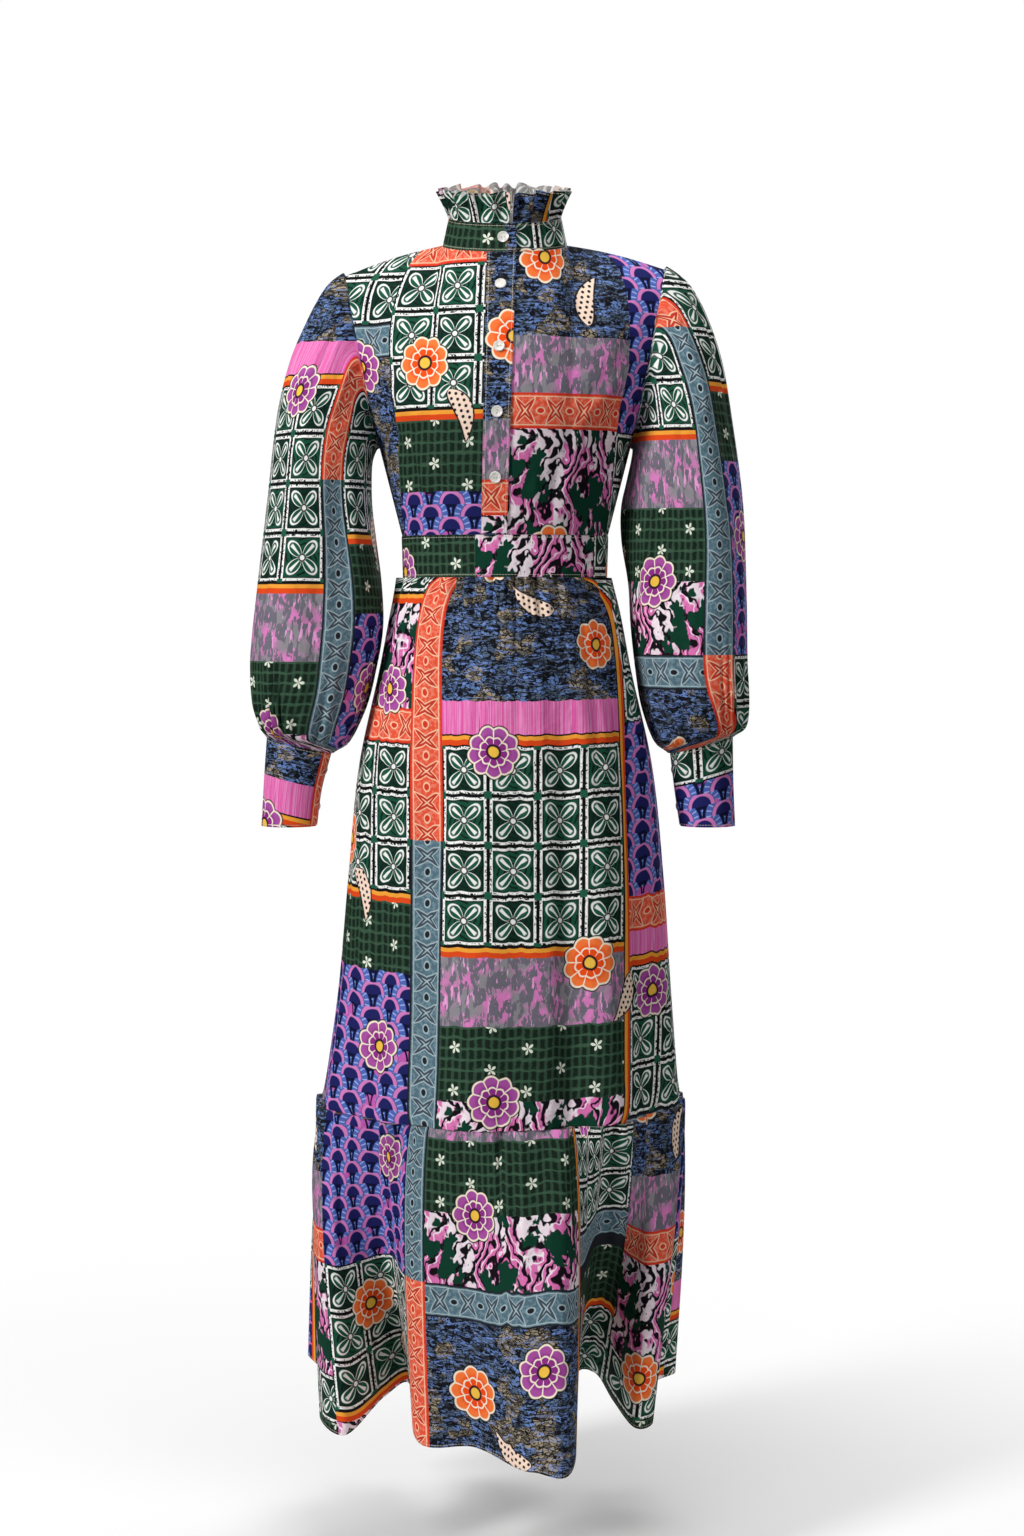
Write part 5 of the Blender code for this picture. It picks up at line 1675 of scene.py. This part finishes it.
def make_sky(strength):
    """A weak even light from all round that looks white to the camera."""
    world = bpy.data.worlds.new("studio")
    world.use_nodes = True
    nodes = world.node_tree.nodes
    background = nodes["Background"]
    background.inputs["Color"].default_value = (1.0, 1.0, 1.0, 1.0)
    seen = nodes.new("ShaderNodeLightPath").outputs["Is Camera Ray"]
    level = nodes.new("ShaderNodeMapRange")
    level.inputs["To Min"].default_value = strength
    level.inputs["To Max"].default_value = 1.0
    world.node_tree.links.new(seen, level.inputs["Value"])
    world.node_tree.links.new(level.outputs[0], background.inputs["Strength"])
    bpy.context.scene.world = world


def make_light(name, place, target, size, power):
    data = bpy.data.lights.new(name, "AREA")
    data.shape = "RECTANGLE"
    data.size = size[0]
    data.size_y = size[1]
    data.energy = power
    light = placed(name, data)
    light.location = place
    light.rotation_euler = (Vector(target) - Vector(place)).to_track_quat("-Z", "Y").to_euler()


def make_stage():
    settings = bpy.context.scene.dress_studio
    make_floor()
    make_sky(settings.sky)
    make_light("key", (-2.7, -2.2, 1.0), (0.0, 0.0, -0.6), (0.7, 1.6), settings.key_power)
    make_light("fill", (2.2, -3.0, -0.2), (0.0, 0.0, -0.7), (1.4, 2.2), settings.fill_power)
    for light in LIGHTS:
        make_light(*light)
    data = bpy.data.cameras.new("camera")
    data.lens = CAMERA_LENS
    data.sensor_width = CAMERA_SENSOR
    data.sensor_fit = "AUTO"
    data.dof.use_dof = False
    camera = placed("camera", data)
    camera.location = CAMERA_PLACE
    camera.rotation_euler = (math.radians(90.0 - CAMERA_DOWN_DEG), 0.0, 0.0)
    bpy.context.scene.camera = camera
    bpy.context.scene.view_settings.view_transform = "Standard"


# The add-on

class DressClothSettings(bpy.types.PropertyGroup):
    """Sizes of the printed cloth."""

    thickness: bpy.props.FloatProperty(
        name="Thickness", description="Thickness of the printed cloth", default=0.0010, min=0.0004, max=0.0018,
        subtype="DISTANCE", unit="LENGTH",
    )


class DressStudioSettings(bpy.types.PropertyGroup):
    """Light of the studio."""

    key_power: bpy.props.FloatProperty(
        name="Key light", description="Power of the large light at the left", default=128.0, min=0.0, unit="POWER",
    )
    fill_power: bpy.props.FloatProperty(
        name="Fill light", description="Power of the large light at the right", default=28.0, min=0.0, unit="POWER",
    )
    sky: bpy.props.FloatProperty(
        name="Sky", description="Strength of the even light from all round", default=0.10, min=0.0,
    )


class DressOperator:
    """What the operators have in common."""

    bl_options = {"REGISTER", "UNDO"}

    def execute(self, context):
        self.make()
        return {"FINISHED"}


class DRESS_OT_bodice(DressOperator, bpy.types.Operator):
    """Wear the back and the two front panels"""

    bl_idname = "dress.bodice"
    bl_label = "Bodice"
    make = staticmethod(make_bodice)


class DRESS_OT_placket(DressOperator, bpy.types.Operator):
    """Lay the button strip on the front"""

    bl_idname = "dress.placket"
    bl_label = "Placket"
    make = staticmethod(make_placket)


class DRESS_OT_collar(DressOperator, bpy.types.Operator):
    """Wear the stand collar and its ruffle"""

    bl_idname = "dress.collar"
    bl_label = "Collar"
    make = staticmethod(make_collar)


class DRESS_OT_sleeves(DressOperator, bpy.types.Operator):
    """Wear the two lantern sleeves"""

    bl_idname = "dress.sleeves"
    bl_label = "Sleeves"
    make = staticmethod(make_sleeves)


class DRESS_OT_cuffs(DressOperator, bpy.types.Operator):
    """Wear the two buttoned cuffs"""

    bl_idname = "dress.cuffs"
    bl_label = "Cuffs"
    make = staticmethod(make_cuffs)


class DRESS_OT_waistband(DressOperator, bpy.types.Operator):
    """Wear the waistband"""

    bl_idname = "dress.waistband"
    bl_label = "Waistband"
    make = staticmethod(make_waistband)


class DRESS_OT_skirt(DressOperator, bpy.types.Operator):
    """Wear the upper skirt"""

    bl_idname = "dress.skirt"
    bl_label = "Skirt"
    make = staticmethod(make_skirt)


class DRESS_OT_flounce(DressOperator, bpy.types.Operator):
    """Wear the hem flounce"""

    bl_idname = "dress.flounce"
    bl_label = "Flounce"
    make = staticmethod(make_flounce)


class DRESS_OT_buttons(DressOperator, bpy.types.Operator):
    """Put the pearly buttons in their places"""

    bl_idname = "dress.buttons"
    bl_label = "Buttons"
    make = staticmethod(make_buttons)


class DRESS_OT_stage(DressOperator, bpy.types.Operator):
    """Set up the floor, the sky, the lights and the camera"""

    bl_idname = "dress.stage"
    bl_label = "Stage"
    make = staticmethod(make_stage)


STEPS = (
    DRESS_OT_bodice,
    DRESS_OT_placket,
    DRESS_OT_collar,
    DRESS_OT_sleeves,
    DRESS_OT_cuffs,
    DRESS_OT_waistband,
    DRESS_OT_skirt,
    DRESS_OT_flounce,
    DRESS_OT_buttons,
    DRESS_OT_stage,
)


class DRESS_PT_steps(bpy.types.Panel):
    """Lists the steps that build the dress"""

    bl_idname = "DRESS_PT_steps"
    bl_label = "Lantern sleeve midi dress"
    bl_space_type = "VIEW_3D"
    bl_region_type = "UI"
    bl_category = "Dress"

    def draw(self, context):
        self.layout.prop(context.scene.dress_cloth, "thickness")
        for name in ("key_power", "fill_power", "sky"):
            self.layout.prop(context.scene.dress_studio, name)
        for step in STEPS:
            self.layout.operator(step.bl_idname)


CLASSES = (DressClothSettings, DressStudioSettings) + STEPS + (DRESS_PT_steps,)


def register():
    for part in CLASSES:
        bpy.utils.register_class(part)
    bpy.types.Scene.dress_cloth = bpy.props.PointerProperty(type=DressClothSettings)
    bpy.types.Scene.dress_studio = bpy.props.PointerProperty(type=DressStudioSettings)


def unregister():
    del bpy.types.Scene.dress_studio
    del bpy.types.Scene.dress_cloth
    for part in reversed(CLASSES):
        bpy.utils.unregister_class(part)


def main():
    register()
    for step in STEPS:
        group, name = step.bl_idname.split(".")
        if getattr(getattr(bpy.ops, group), name)() != {"FINISHED"}:
            raise RuntimeError(f"{step.bl_idname} did not finish")


if __name__ == "__main__":
    main()
